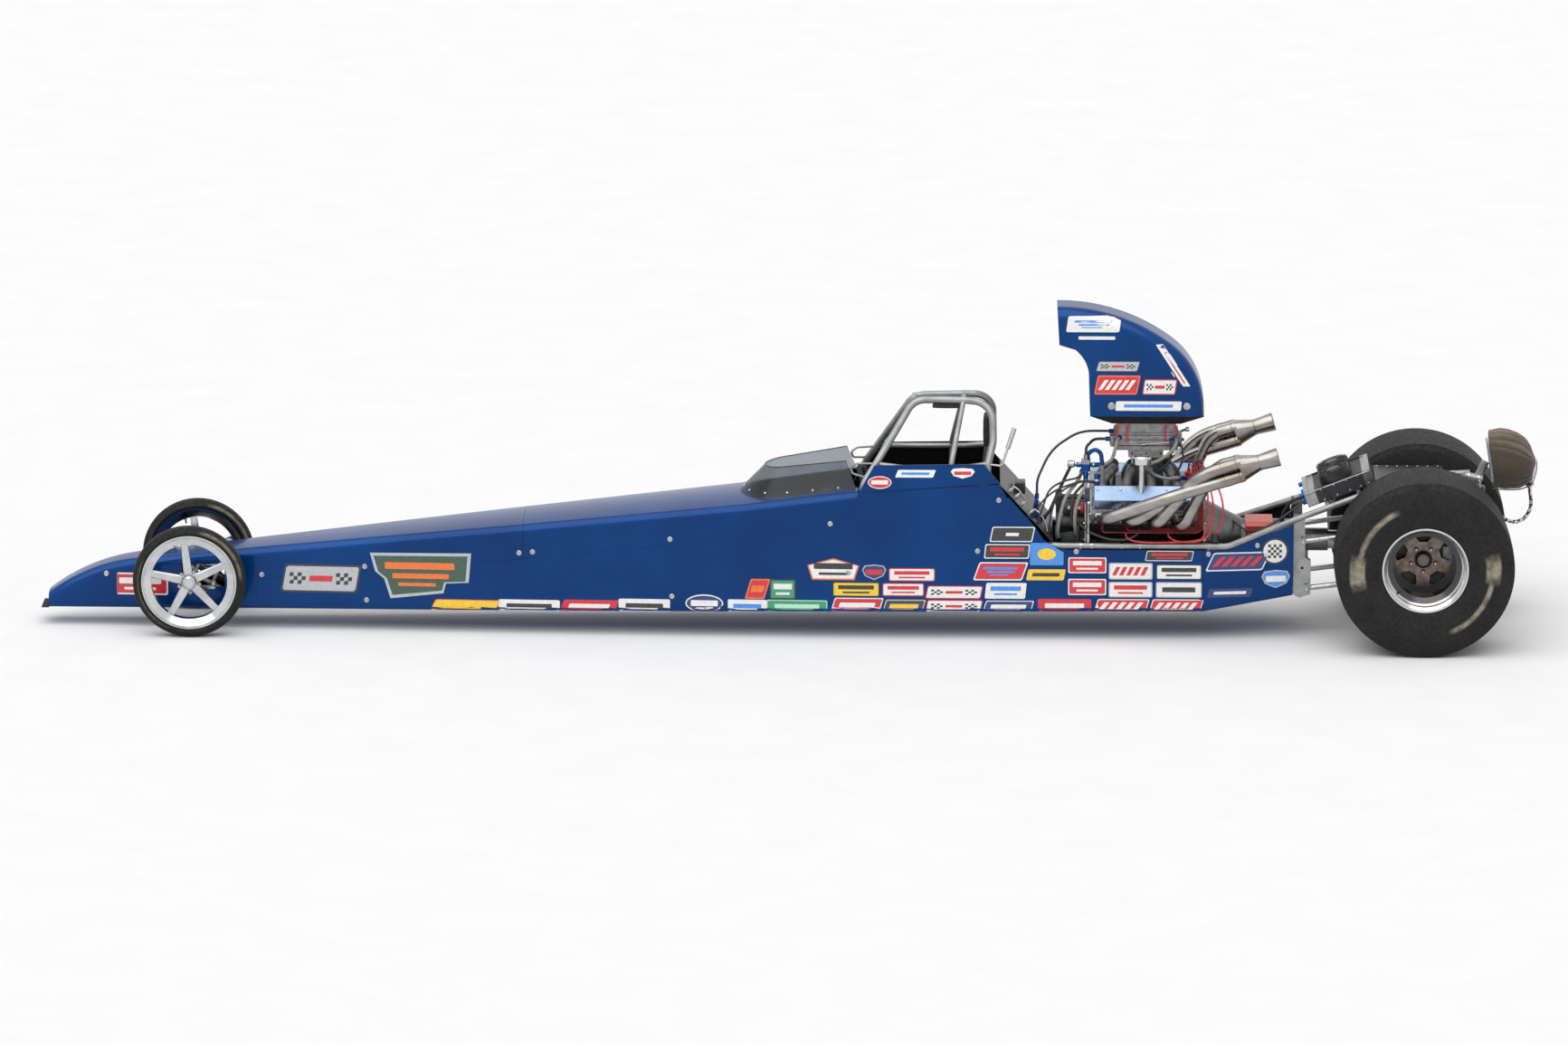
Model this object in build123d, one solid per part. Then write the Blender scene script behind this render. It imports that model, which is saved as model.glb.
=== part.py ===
from build123d import *
import math
import os

# A rear engine drag racing car. Millimetres. +X to the rear, +Y to the car's right, +Z up, ground at z 0.
# The origin is on the ground under the middle of the car, from nose lip to parachute bag.

# Overall
wheelbase = 5930
rear_axle_x = 3057
front_axle_x = rear_axle_x - wheelbase
nose_x = -3574
lip_x = -3608
bag_rear_x = 3608

# Tyres and wheels
front_tyre_d = 545
front_tyre_w = 90
front_track = 600
front_rim_d = 459
front_bead_d = 432
front_rim_w = 72
front_lip_d = 368
front_cap_d = 76
front_hub_half = 30
rear_tyre_d = 860
rear_tyre_w = 410
rear_track = 870
rear_rim_d = 413
rear_bead_d = 381
rear_rim_w = 374
rear_dish = 250
rear_star_d = 262
rear_cap_d = 73
lug_circle_d = 120.7
spokes = 5
tyre_wall = 12
rim_wall = 7
run_clear = 0.05

# Bodywork
skin = 4
seam = 0.6
crown_r = 1400
shoulder_r = 42
nose_arc_r = 880
nose_top_x = -3136
nose_top_z = 336
cowl_rise = 0.1157
pan_edge = 26
pan_round = 20
seat_gap = 0.3
cowl_joint_x = -1268
nose_joint_x = -2560
cockpit_front_x = 346
rear_joint_x = 2004
body_end_x = 2438
# Plan outline. Columns: station x, half width.
PLAN = [(nose_x, 80), (-2497, 145), (cowl_joint_x, 228), (-225, 276), (cockpit_front_x, 297),
        (rear_joint_x, 297), (2444, 240)]
# Underside seen from the side. Columns: station x, height.
BOTTOM = [(nose_x, 86), (134, 130), (rear_joint_x, 143), (2444, 215)]
# Joint between the cowls and the side panels. Columns: station x, height.
SIDE_SEAM = [(nose_joint_x, 243), (cowl_joint_x, 375), (-559, 452), (190, 548)]
crease_front_z = 721
crease_rear_x = 1025
crease_rear_z = 768
facet_lean = 40
facet_top_z = 856
facet_front_x = 423
facet_rear_x = 949

# Frame tubes
rail_d = 38
upper_d = 30
strut_d = 25
cage_d = 35
bend_r = 120
frame_front_x = -3330
lower_end_x = 2440
# Upper rails. Columns: station x, height, half width used behind the panels.
UPPER = [(-2700, 202, None), (190, 516, None), (1320, 464, 277), (2122, 464, 277), (2444, 585, 222),
         (2772, 705, 195), (3300, 738, 150)]
# Stations of the uprights along each side frame, and of the tubes across.
STATIONS = [-2500, -1880, -1300, -740, -225, 330, 793, 950, 1410, 2030]
LOWER_CROSS = [-3280, front_axle_x, -2500, -1880, -1300, -740, -225, 330, 793, 1250, 1410, 2030]
UPPER_CROSS = [-2500, -1880, -1300, -740, 90, 3204, 3290]
# Diagonals of each side frame. Columns: lower end x, upper end x.
DIAGONALS = [(-1880, -2500), (-1300, -1880), (-740, -1300), (-225, -740), (330, -225), (1410, 950), (2400, 2030)]
COOLER_BARS = [2600, 2750]
cooler_bar_d = 20

# Roll cage, right side. Columns: x, y, z.
CAGE_MAIN = [(366, 242, 748), (434, 200, 850), (612, 55, 1131), (850, 72, 1134), (990, 105, 1128),
             (994, 165, 950), (968, 224, 850), (955, 262, 700)]
CAGE_ARM = [(450, 218, 846), (560, 246, 838), (860, 246, 840), (962, 228, 852)]
# Tubes across the cage. Columns: x, half width, z.
CAGE_CROSS = [(612, 55, 1131), (850, 72, 1134), (993, 151, 990), (958, 250, 760)]
cage_front_x = 370
cage_post_x = 793
cage_rear_x = 955
stay_d = 10

# Running gear
steer_limit = 10
kingpin_y = 222
kingpin_d = 20
kingpin_boss_d = 40
kingpin_boss_h = 80
beam_d = 45
steer_arm = 110
spindle_d = 30
ball_d = 16
eye_shift = steer_arm * (1 - math.cos(math.radians(steer_limit))) / 2
eye_d = ball_d + 2 * (eye_shift + 0.2)
tie_rod_d = 20
ear_t = 12
ear_gap = 2
link_y = 195
link_bar_d = 26
plate_t = 5
plate_gap = 34
pin_d = 14
star_t = 14
disc_y = 323
# Suspension links. Columns: front eye x and z, rear eye x and z.
LINKS = [(2504, 243, 3000, 305), (2485, 473, 3000, 545)]
PLATE_HOLES = [(2482, 498), (2485, 473), (2504, 270), (2504, 243), (2483, 347)]
tow_bore_d = 40
TOW_RING = (3245, 100, 735)

# Steering wheel and column
steering_x = 400
steering_z = 668
steering_r = 125
column_tilt = 25
column_d = 22
housing_d = 76
housing_end_y = 300
axle_shaft_d = 40
disc_d = 280
disc_t = 10

# Engine
crank_z = 440
head_front_x = 1460
head_l = 515
deck_h = 240
head_h = 104
cover_h = 63
cover_half_w = 44
bank_half_w = 72
front_plate_x = 1436
rear_plate_x = 2006
motor_plate_t = 6
primary_d = 60
collector_d = 92
port_first = 46
port_step = 118
plenum_x = 1724

port_stub = 8
port_up = 72
flange_t = 8
plenum_top = 857
spacer_top = 897
tray_low = 1030
belt_x = 1298
# Front pulleys. Columns: y, z, radius.
PULLEYS = [(0, 440, 60), (0, 640, 38)]
# Fuel pump on the left of the pulleys: y, z.
FUEL_PUMP = (-110, 545)
FILTER_BOX = [(1418, 1462), (-140, -96), (800, 857)]
# Breather on the left valve cover, given for the right: x, y.
BREATHER = (1706, 275)
VENT_ROD = [(968, -224, 850), (1034, -254, 850), (1095, -200, 1024)]
fitting_l = 24
# Hoses and the throttle cable. Columns: diameter, route from fitting to fitting.
HOSES = [
    (14, [(1372, -140.3, 545), (1372, -190, 545), (1372, -190, 690), (1440, -126, 745), (1440, -126, 799.7)]),
    (14, [(1440, -126, 857.3), (1440, -126, 918), (1480, -60, 944), (1557.7, -60, 944)]),
    (14, [(1850, -95.3, 950), (1850, -145, 950), (1845, -150, 850), (1790, -145, 807), (1790, -75.3, 807)]),
    (16, [(1404, -140.3, 545), (1404, -190, 545), (1400, -190, 440), (1340, -190, 425), (1271.3, -190, 425)]),
    (12, [(1205, -150, 668.3), (1205, -150, 760), (1270, -110, 900), (1410, -20, 974), (1573.7, -20, 974)]),
    (16, [(1230, -80, 547), (1268, -80, 589), (1330, -100, 740), (1370, -118, 828), (1417.7, -118, 828)]),
    (16, [(2494, -120, 682), (2428, -120, 656), (2390, -80.2, 579), (2390, -50.2, 526.9)]),
    (16, [(2506, -80, 650), (2440, -80, 624), (2436, -30.5, 589), (2436, -20.1, 538.3)]),
]
# Collector on the right side: start and end of its axis.
COLLECTOR = [(2175, 394, 877), (2357, 394, 934)]
primary_pitch = 63
# Place of each primary in the collector, across and up, in half pitches.
BUNDLE = [(1, 1), (-1, 1), (1, -1), (-1, -1)]
# Runs of each primary. Columns: drop in degrees, out of the port, into the collector.
PRIMARY_RUN = [(5, 45, 330), (25, 60, 250), (40, 80, 200), (60, 110, 120)]
# Ignition. Columns of each lead: lane out from the bank, station behind the head, angle of its tower.
LEADS = [(130, 2002, 25), (120, 1994.5, 70), (110, 1987, 110), (100, 1979.5, 155)]
lead_d = 7
plug_up = 18
cap_x = 1972
cap_low_z = 731
cap_top_z = 772
cap_d = 106
tower_ring_r = 38
valley_rise = 8

# Cooler above the axle
cooler_front_x = 2500
cooler_front_z = 670
cooler_rear_x = 2815
cooler_rear_z = 792
cooler_t = 76
cooler_half_w = 170
cooler_tilt = math.atan2(cooler_rear_z - cooler_front_z, cooler_rear_x - cooler_front_x)

# Scoop
scoop_half_w = 170
scoop_skin = 5
scoop_round = 62
scoop_top_z = 1597
scoop_top_half_w = 128
scoop_mouth_x = 1297
scoop_base_z = 1078
scoop_front_x = 1458
scoop_rear_x = 2006
tray_edge = 1


def solids_of(*shapes):
    found = []
    for shape in shapes:
        found.extend(shape.solids())
    return found


def both_sides(*shapes):
    found = solids_of(*shapes)
    return found + solids_of(*[mirror(s, about=Plane.XZ) for s in found])


def rod(start, end, diameter):
    a = Vector(*start)
    b = Vector(*end)
    return extrude(Plane(origin=a, z_dir=b - a) * Circle(diameter / 2), (b - a).length)


def tube_along(points, radii, diameter):
    path = FilletPolyline(*points, radius=radii)
    section = Plane(origin=path @ 0, z_dir=path % 0) * Circle(diameter / 2)
    return sweep(section, path=path)


def fused(pieces):
    return pieces[0].fuse(*pieces[1:]) if len(pieces) > 1 else pieces[0]


def block(x0, x1, y0, y1, z0, z1):
    return Pos((x0 + x1) / 2, (y0 + y1) / 2, (z0 + z1) / 2) * Box(x1 - x0, y1 - y0, z1 - z0)


def side_face(points):
    return Plane.XZ * make_face(Polyline(*points, close=True))


def side_cut(points, half=900):
    return extrude(side_face(points), half, both=True)


def cross_cut(points, x0, x1):
    face = Plane.YZ.offset(x0) * make_face(Polyline(*points, close=True))
    return extrude(face, x1 - x0)


def along(table, x):
    for left, right in zip(table[:-1], table[1:]):
        if x <= right[0]:
            break
    share = (x - left[0]) / (right[0] - left[0])
    return left[1] + share * (right[1] - left[1])


def turned(profile):
    # A closed profile of points (axial, radial), turned about the Y axis.
    face = Plane.XY * make_face(Polyline(*[(radial, axial) for axial, radial in profile], close=True))
    return revolve(face, axis=Axis.Y)


# Bodywork

def plan_prism(inset):
    near = [(x, -(half - inset)) for x, half in PLAN]
    far = [(x, half - inset) for x, half in reversed(PLAN)]
    points = near + far
    points[0] = (points[0][0] + inset, points[0][1])
    points[-1] = (points[-1][0] + inset, points[-1][1])
    return extrude(make_face(Polyline(*points, close=True)), 1200)


def section_face(x, half, crown_z, radius, inset):
    wide = half - inset
    top = crown_z - inset
    drop = radius - math.sqrt(radius ** 2 - wide ** 2)
    outline = ThreePointArc((-wide, top - drop), (0, top), (wide, top - drop))
    outline += Polyline((wide, top - drop), (wide, 0), (-wide, 0), (-wide, top - drop))
    face = make_face(Plane.YZ.offset(x) * outline)
    corners = face.vertices().sort_by(Axis.Z)[-2:]
    return fillet(corners, shoulder_r - inset)


def crown_z_at(x):
    return nose_top_z + cowl_rise * (x - nose_top_x)


def nose_blank(inset):
    tilt = math.atan(cowl_rise)
    ahead = Vector(math.cos(tilt), 0, math.sin(tilt))
    plane = Plane(origin=(nose_top_x, 0, nose_top_z), x_dir=(0, 1, 0), z_dir=ahead)
    wide = 420
    drop = crown_r - math.sqrt(crown_r ** 2 - wide ** 2)

    def face(depth):
        outline = ThreePointArc((-wide, -inset - drop), (0, -inset), (wide, -inset - drop))
        outline += Polyline((wide, -inset - drop), (wide, -depth), (-wide, -depth), (-wide, -inset - drop))
        return make_face(plane * outline)

    main = extrude(face(700), 2300)
    centre = Vector(nose_top_x, 0, nose_top_z) - plane.y_dir * nose_arc_r
    nose = revolve(face(600), axis=Axis(centre, (0, 1, 0)), revolution_arc=-40)
    body = (main + nose) & plan_prism(inset)
    edges = []
    for edge in body.edges():
        box = edge.bounding_box()
        if box.size.X > 20 and 0.5 < box.size.Z < 600 and abs(edge.center().Y) > 50 and edge.center().Z > 160:
            edges.append(edge)
    return fillet(edges, shoulder_r - inset)


def rear_blank(inset):
    stations = [(cowl_joint_x, crown_r), (-225, crown_r), (cockpit_front_x, 3000)]
    faces = [section_face(x, along(PLAN, x), crown_z_at(x), radius, inset) for x, radius in stations]
    return loft(faces[0:2], ruled=True) + loft(faces[1:3], ruled=True)


def seam_points(shift):
    return [(x, z + shift) for x, z in SIDE_SEAM]


def pan_top(x, shift=0):
    return along(BOTTOM, x) + pan_edge + shift


def axle_slot():
    return side_cut([(front_axle_x - 52, 205), (front_axle_x + 158, 205), (front_axle_x + 158, 315),
                     (front_axle_x - 52, 315)])


def nose_cowl():
    shell = nose_blank(0) - nose_blank(skin)
    keep = side_cut([(nose_x - 10, pan_top(nose_x, seam)), (nose_joint_x, pan_top(nose_joint_x, seam)),
                     (nose_joint_x, SIDE_SEAM[0][1] + seam / 2), (cowl_joint_x - seam, SIDE_SEAM[1][1] + seam / 2),
                     (cowl_joint_x - seam, 900), (nose_x - 10, 900)])
    return solids_of((shell & keep) - axle_slot())


def cowl_rear_arc(shift):
    # The cowl's rear edge sweeps up from the side seam to the front of the cockpit panel.
    low = (SIDE_SEAM[-1][0] - shift, SIDE_SEAM[-1][1])
    middle = (265 - shift, 588)
    high = (cockpit_front_x - shift, crease_front_z)
    return low, middle, high


def rear_cowl():
    outer = rear_blank(0)
    shell = outer - rear_blank(skin)
    low, middle, high = cowl_rear_arc(seam)
    upper = seam_points(seam / 2)[1:]
    outline = Polyline((cowl_joint_x + seam, 900), (cowl_joint_x + seam, upper[0][1]), upper[1], low)
    outline += ThreePointArc(low, middle, high)
    outline += Polyline(high, (cockpit_front_x - seam, 900), (cowl_joint_x + seam, 900))
    keep = extrude(Plane.XZ * make_face(outline), 900, both=True)
    return solids_of((shell & keep) - cockpit_hole())


screen_h = 112
screen_t = 4
screen_foot_z = 699
hole_inset = 22
# Windscreen outline. Columns: arc centre x, arc radius, rear x, rear half width, slope in degrees.
SCREEN_LOW = (3, 222, 338, 232, 5.2)
SCREEN_TOP = (25, 118, 306, 165, 7.8)


def screen_face(height, inset, rear=0):
    share = height / screen_h
    centre, radius, rear_x, rear_half, slope = [a + (b - a) * share for a, b in zip(SCREEN_LOW, SCREEN_TOP)]
    tilt = math.radians(slope)
    up = Vector(-math.sin(tilt), 0, math.cos(tilt))
    plane = Plane(origin=Vector(0, 0, screen_foot_z) + up * height, x_dir=(math.cos(tilt), 0, math.sin(tilt)),
                  z_dir=up)
    radius -= inset
    rear_half -= inset
    rear_x += rear
    outline = ThreePointArc((centre, -radius), (centre - radius, 0), (centre, radius))
    outline += Polyline((centre, radius), (rear_x, rear_half), (rear_x, -rear_half), (centre, -radius))
    return plane * make_face(outline)


def cockpit_hole():
    return extrude(screen_face(0, hole_inset, 60), 80, both=True)


def windscreen():
    outer = loft([screen_face(-45, 0), screen_face(screen_h, 0)], ruled=True)
    inner = loft([screen_face(-60, screen_t, 30), screen_face(screen_h + 20, screen_t, 30)], ruled=True)
    shell = (outer - inner - rear_blank(0)) & block(-400, cockpit_front_x - 9, -400, 400, 500, 1000)
    return [shell.solids().sort_by(SortBy.VOLUME)[-1]]


def panel_ring():
    return plan_prism(0) - plan_prism(skin)


def side_panels():
    low, middle, high = cowl_rear_arc(0)
    lower = [(nose_joint_x + seam, pan_top(nose_joint_x, seam)), (134, pan_top(134, seam)), (934, pan_top(934, seam))]
    upper = seam_points(-seam / 2)
    outline = Polyline((nose_joint_x + seam, upper[0][1]), lower[0], lower[1], lower[2], (934, 370), (1062, 700),
                       (crease_rear_x, crease_rear_z), high)
    outline += ThreePointArc(high, middle, low)
    outline += Polyline(low, upper[2], upper[1], (nose_joint_x + seam, upper[0][1]))
    keep = extrude(Plane.XZ * make_face(outline), 900, both=True)
    return solids_of(panel_ring() & keep)


def cockpit_panels():
    half = along(PLAN, crease_rear_x)
    low_z = crease_front_z - 30
    lean = Plane.YZ.offset(200) * make_face(Polyline((-half, low_z), (-half + skin, low_z),
                                                     (-half + skin + facet_lean, facet_top_z + 30),
                                                     (-half + facet_lean, facet_top_z + 30), close=True))
    wall = extrude(lean, 1000)
    keep = side_cut([(cockpit_front_x + 2, crease_front_z + seam), (crease_rear_x, crease_rear_z + seam),
                     (facet_rear_x, facet_top_z + 4), (facet_front_x, facet_top_z - 4)])
    return both_sides(wall & keep)


def engine_panels():
    top = UPPER[2][1] - upper_d / 2 - seat_gap
    outline = [(934 + seam, pan_top(934, seam)), (rear_joint_x - seam, pan_top(rear_joint_x, seam)),
               (rear_joint_x - seam, top), (1320, top), (1238, 497), (1199, 557), (1066, 708), (1062 + seam, 700),
               (934 + seam, 370)]
    return solids_of(panel_ring() & side_cut(outline))


def rear_panels():
    top = UPPER[3][1] - upper_d / 2 - seat_gap
    slope = math.atan2(UPPER[4][1] - UPPER[3][1], UPPER[4][0] - UPPER[3][0])
    rail_z = along([(r[0], r[1]) for r in UPPER], body_end_x)
    corner = (body_end_x, rail_z - (upper_d / 2 + seat_gap) / math.cos(slope))
    turn = UPPER[3][0] + upper_d / 2 * math.tan(slope / 2)
    outline = [(rear_joint_x + seam, pan_top(rear_joint_x, seam)), (body_end_x, pan_top(body_end_x, seam)),
               corner, (turn, top), (rear_joint_x + seam, top)]
    return solids_of(panel_ring() & side_cut(outline))


def pan_section(x, inset, lift):
    half = along(PLAN, x) - inset
    low = along(BOTTOM, x) + inset
    high = along(BOTTOM, x) + pan_edge + lift
    outline = Polyline((-half, high), (-half, low), (half, low), (half, high), close=True)
    face = Plane.YZ.offset(x) * make_face(outline)
    return fillet(face.vertices().sort_by(Axis.Z)[:2], pan_round - inset)


def belly_pan():
    stations = sorted({row[0] for row in PLAN[:-1] + BOTTOM[:-1]} | {body_end_x})
    outer = loft([pan_section(x, 0, 0) for x in stations], ruled=True)
    inner_stations = [nose_x + skin] + stations[1:-1] + [body_end_x + 10]
    inner = loft([pan_section(x, skin, 40) for x in inner_stations], ruled=True)
    lip_half = PLAN[0][1] + 8
    lip = block(lip_x, nose_x + 10, -lip_half, lip_half, BOTTOM[0][1] + 1, BOTTOM[0][1] + 1 + skin)
    return solids_of(outer - inner + (lip & block(lip_x, nose_x + 2, -lip_half, lip_half, 0, 200)))


def cooler_bottom(x):
    return cooler_front_z - cooler_t / 2 / math.cos(cooler_tilt) + math.tan(cooler_tilt) * (x - cooler_front_x)


# Frame

def rail_y(x, diameter):
    return along(PLAN, x) - skin - seat_gap - diameter / 2


def lower_point(x, side):
    inward = pan_round - skin
    height = along(BOTTOM, x) + skin + seat_gap + rail_d / 2
    return (x, side * (rail_y(x, rail_d) - inward / 2), height + inward / 4)


def upper_rows():
    return [(x, half if half else rail_y(x, upper_d), z) for x, z, half in UPPER]


def upper_point(x, side):
    rows = upper_rows()
    half = rail_y(x, upper_d) if x < UPPER[1][0] else along([(r[0], r[1]) for r in rows], x)
    height = along([(r[0], r[2]) for r in rows], x)
    return (x, side * half, height)


def upper_bends():
    inside = [x for x, half in PLAN[1:-2] if x < UPPER[1][0]]
    return [UPPER[0][0]] + inside + [row[0] for row in UPPER[1:]]


def side_frame(side):
    lower_xs = [frame_front_x] + [row[0] for row in PLAN[1:-1]] + [lower_end_x]
    lower = [lower_point(x, side) for x in lower_xs]
    upper = [upper_point(x, side) for x in upper_bends()]
    pieces = [tube_along(lower, [bend_r] * (len(lower) - 2), rail_d),
              tube_along(upper, [bend_r] * (len(upper) - 2), upper_d)]
    pieces += [rod(lower_point(x, side), upper_point(x, side), strut_d) for x in STATIONS]
    pieces += [rod(lower_point(x, side), upper_point(there, side), strut_d) for x, there in DIAGONALS]
    return solids_of(fused(pieces))


def trimmed(shapes, cutters, least):
    # Each shape is coped to the frame that it is welded to, and the stubs past the frame fall away.
    found = []
    for shape in shapes:
        cut = shape.cut(*cutters)
        found += [s for s in cut.solids() if s.volume > least]
    return found


def cross_tubes(frames):
    tubes = [rod(lower_point(x, -1), lower_point(x, 1), strut_d) for x in LOWER_CROSS]
    tubes += [rod(upper_point(x, -1), upper_point(x, 1), strut_d) for x in UPPER_CROSS]
    for x in COOLER_BARS:
        z = cooler_bottom(x) - (cooler_bar_d / 2 + seat_gap) / math.cos(cooler_tilt)
        half = upper_point(x, 1)[1]
        tubes.append(rod((x, -half, z), (x, half, z), cooler_bar_d))
    return trimmed(tubes, frames, 5000)


def leg_top(x, side, lift=0):
    x, y, z = upper_point(x, side)
    return (x, y - side * (cage_d - upper_d) / 2, z + lift)


def roll_cage(frames):
    tubes = []
    for side in (-1, 1):
        main = [leg_top(cage_front_x, side)] + [(x, side * y, z) for x, y, z in CAGE_MAIN]
        main += [leg_top(cage_rear_x, side)]
        post = [(CAGE_MAIN[3][0], side * CAGE_MAIN[3][1], CAGE_MAIN[3][2])]
        post += [(cage_post_x, side * 246, 862), leg_top(cage_post_x, side)]
        arm = [(x, side * y, z) for x, y, z in CAGE_ARM]
        tubes += [tube_along(main, [120, 90, 90, 90, 108, 110, 90, 120], cage_d), tube_along(post, [90], strut_d),
                  tube_along(arm, [70, 70], strut_d)]
    tubes += [rod((x, -y, z), (x, y, z), strut_d) for x, y, z in CAGE_CROSS]
    return trimmed([fused(tubes)], frames, 20000)


def head_pads():
    bar = along([(CAGE_MAIN[2][0], CAGE_MAIN[2][2]), (CAGE_MAIN[3][0], CAGE_MAIN[3][2])], 700)
    top = bar - cage_d / 2 - seat_gap
    pads = []
    for side in (-1, 1):
        y = side * 66
        pad = block(700, 830, y - 20, y + 20, top - 20, top)
        pads.append(fillet(pad.edges().filter_by(Axis.X), 8))
    back = block(944, CAGE_CROSS[2][0] - strut_d / 2 - seat_gap, -75, 75, 900, 1050)
    pads.append(fillet(back.edges().filter_by(Axis.Z), 14))
    return solids_of(*pads)


def screen_stays(cage):
    stays = []
    for side in (-1, 1):
        points = [(440, side * 198, 846), (336, side * 180, 842), (306, side * 176, 822), (318, side * 184, 793),
                  (392, side * 232, 782)]
        stays.append(tube_along(points, [18, 16, 16], stay_d))
    return trimmed(stays, cage, 5000)


def firewall():
    half = along(PLAN, 1100) - skin - seat_gap
    run = [(1027, 764), (1030, 764), (1283, 487), (1280, 485)]
    slope = side_cut(run, half)
    low = block(1268, 1271, -240, 240, 176, 478)
    bend = side_cut([(1268, 470), (1271, 470), (1283, 487), (1280, 485)], 240)
    return solids_of(slope + low + bend)


def seat():
    wall = 4
    half = 185
    shell = Polyline((500, 262), (560, 238), (810, 182), (862, 200), (975, 720), (971, 721), (859, 204), (809, 186),
                     (561, 242), (502, 266), close=True)
    body = extrude(Plane.XZ * make_face(shell), half, both=True)
    side = Polyline((500, 262), (810, 182), (862, 200), (975, 720), (900, 700), (850, 470), (780, 340), (520, 330),
                    close=True)
    wing = extrude(Plane.XZ.offset(half) * make_face(side), -wall)
    floor = along(BOTTOM, 580) + skin + seat_gap
    foot = side_cut([(570, floor), (590, floor), (590, 233), (570, 237.5)], 60)
    tube_top = lower_point(cage_post_x, 1)[2] + strut_d / 2 + seat_gap
    heel = block(cage_post_x - 8, cage_post_x + 8, -90, 90, tube_top, 187)
    return solids_of(fused([body, wing, mirror(wing, about=Plane.XZ), foot, heel]))



# Front running gear

def upright(x, y, z0, z1, diameter):
    return rod((x, y, z0), (x, y, z1), diameter)


def front_axle(frames):
    x = front_axle_x
    z = front_tyre_d / 2
    half_boss = kingpin_boss_h / 2
    bosses = [upright(x, s * kingpin_y, z - half_boss, z + half_boss, kingpin_boss_d) for s in (-1, 1)]
    beam = rod((x, -kingpin_y + 4, z), (x, kingpin_y - 4, z), beam_d)
    legs = [upright(x, s * 60, lower_point(x, 1)[2] + 3, z, upper_d) for s in (-1, 1)]
    stays = [rod((x, s * 80, z - 10), lower_point(x + 250, s), strut_d) for s in (-1, 1)]
    body = fused([beam] + bosses + legs + stays)
    for s in (-1, 1):
        body -= upright(x, s * kingpin_y, z - half_boss - 1, z + half_boss + 1, kingpin_d + 2 * run_clear)
    cross = rod(lower_point(x, -1), lower_point(x, 1), strut_d)
    body -= cross
    for frame in frames:
        body -= frame
    return [s for s in body.solids() if s.volume > 50000]


def knuckle(side):
    x = front_axle_x
    z = front_tyre_d / 2
    half_boss = kingpin_boss_h / 2
    web_in = kingpin_y + 24
    web_out = web_in + ear_t
    hub_in = front_track / 2 - front_hub_half
    pieces = []
    for low in (z - half_boss - ear_gap - ear_t, z + half_boss + ear_gap):
        ear = block(x - 19, x + 19, kingpin_y, web_out, low, low + ear_t)
        pieces += [ear, upright(x, kingpin_y, low, low + ear_t, 38)]
    pieces.append(block(x - 24, x + 24, web_in, web_out, z - half_boss - ear_gap - ear_t,
                        z + half_boss + ear_gap + ear_t))
    pieces.append(upright(x, kingpin_y, z - half_boss - ear_gap - 1, z + half_boss + ear_gap + 1, kingpin_d))
    pieces.append(rod((x, web_out - 1, z), (x, hub_in - seat_gap, z), spindle_d + 14))
    pieces.append(rod((x, web_out - 1, z), (x, front_track / 2 + front_hub_half - 12, z), spindle_d))
    arm_z = z - half_boss - ear_gap - ear_t
    pieces.append(block(x, x + steer_arm, kingpin_y - 13, kingpin_y + 13, arm_z, arm_z + ear_t))
    pieces.append(upright(x + steer_arm, kingpin_y, arm_z, arm_z + ear_t, 26))
    pieces.append(upright(x + steer_arm, kingpin_y, arm_z + ear_t - 1, ball_z(), 9))
    pieces.append(Pos(x + steer_arm, kingpin_y, ball_z()) * Sphere(ball_d / 2))
    body = fused(pieces)
    return solids_of(body if side > 0 else mirror(body, about=Plane.XZ))


def ball_z():
    return front_tyre_d / 2 - kingpin_boss_h / 2 - ear_gap + 13


def tie_rod():
    x = front_axle_x + steer_arm - eye_shift
    z = ball_z()
    outer = eye_d / 2 + 6
    pieces = [rod((x, -kingpin_y + outer - 3, z), (x, kingpin_y - outer + 3, z), tie_rod_d)]
    for s in (-1, 1):
        pieces.append(upright(x, s * kingpin_y, z - 6, z + 6, 2 * outer))
    body = fused(pieces)
    for s in (-1, 1):
        body -= upright(x, s * kingpin_y, z - 7, z + 7, eye_d)
    return solids_of(body)


def front_wheel(side):
    flange = front_rim_d / 2
    bead = front_bead_d / 2
    lip = front_lip_d / 2
    w = front_rim_w / 2
    barrel = turned([(-w, flange), (-w + 5, flange), (-w + 7, bead), (-w + 24, bead), (-w + 28, bead - 12),
                     (w - 28, bead - 12), (w - 24, bead), (w - 7, bead), (w - 5, flange), (w, flange),
                     (w, flange - 5), (w - 5, flange - 7), (w - 5, flange - 11), (w - 2, flange - 13),
                     (w - 17, lip + 5), (w - 19, lip), (-w + 16, lip), (-w + 14, lip + 4), (-w + 2, flange - 7)])
    cap = front_cap_d / 2
    hub = turned([(-front_hub_half, 0), (-front_hub_half, cap - 4), (0, cap - 2), (front_hub_half, cap),
                  (front_hub_half + 6, cap - 4), (front_hub_half + 11, cap - 16), (front_hub_half + 13, 0)])
    arms = []
    for n in range(spokes):
        inner = Plane(origin=(0, 0, cap - 8), z_dir=(0, 0, 1)) * RectangleRounded(46, 30, 8)
        outer = Plane(origin=(0, -2, lip + 4), z_dir=(0, 0, 1)) * RectangleRounded(34, 16, 6)
        arm = loft([inner, outer], ruled=True)
        arms.append(Rot(0, -(7 + n * 360 / spokes), 0) * arm)
    body = fused([barrel, hub] + arms)
    body -= rod((0, -front_hub_half - 1, 0), (0, front_hub_half - 11, 0), spindle_d + 2 * run_clear)
    placed = Pos(front_axle_x, front_track / 2, front_tyre_d / 2) * body
    return solids_of(placed if side > 0 else mirror(placed, about=Plane.XZ))


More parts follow.
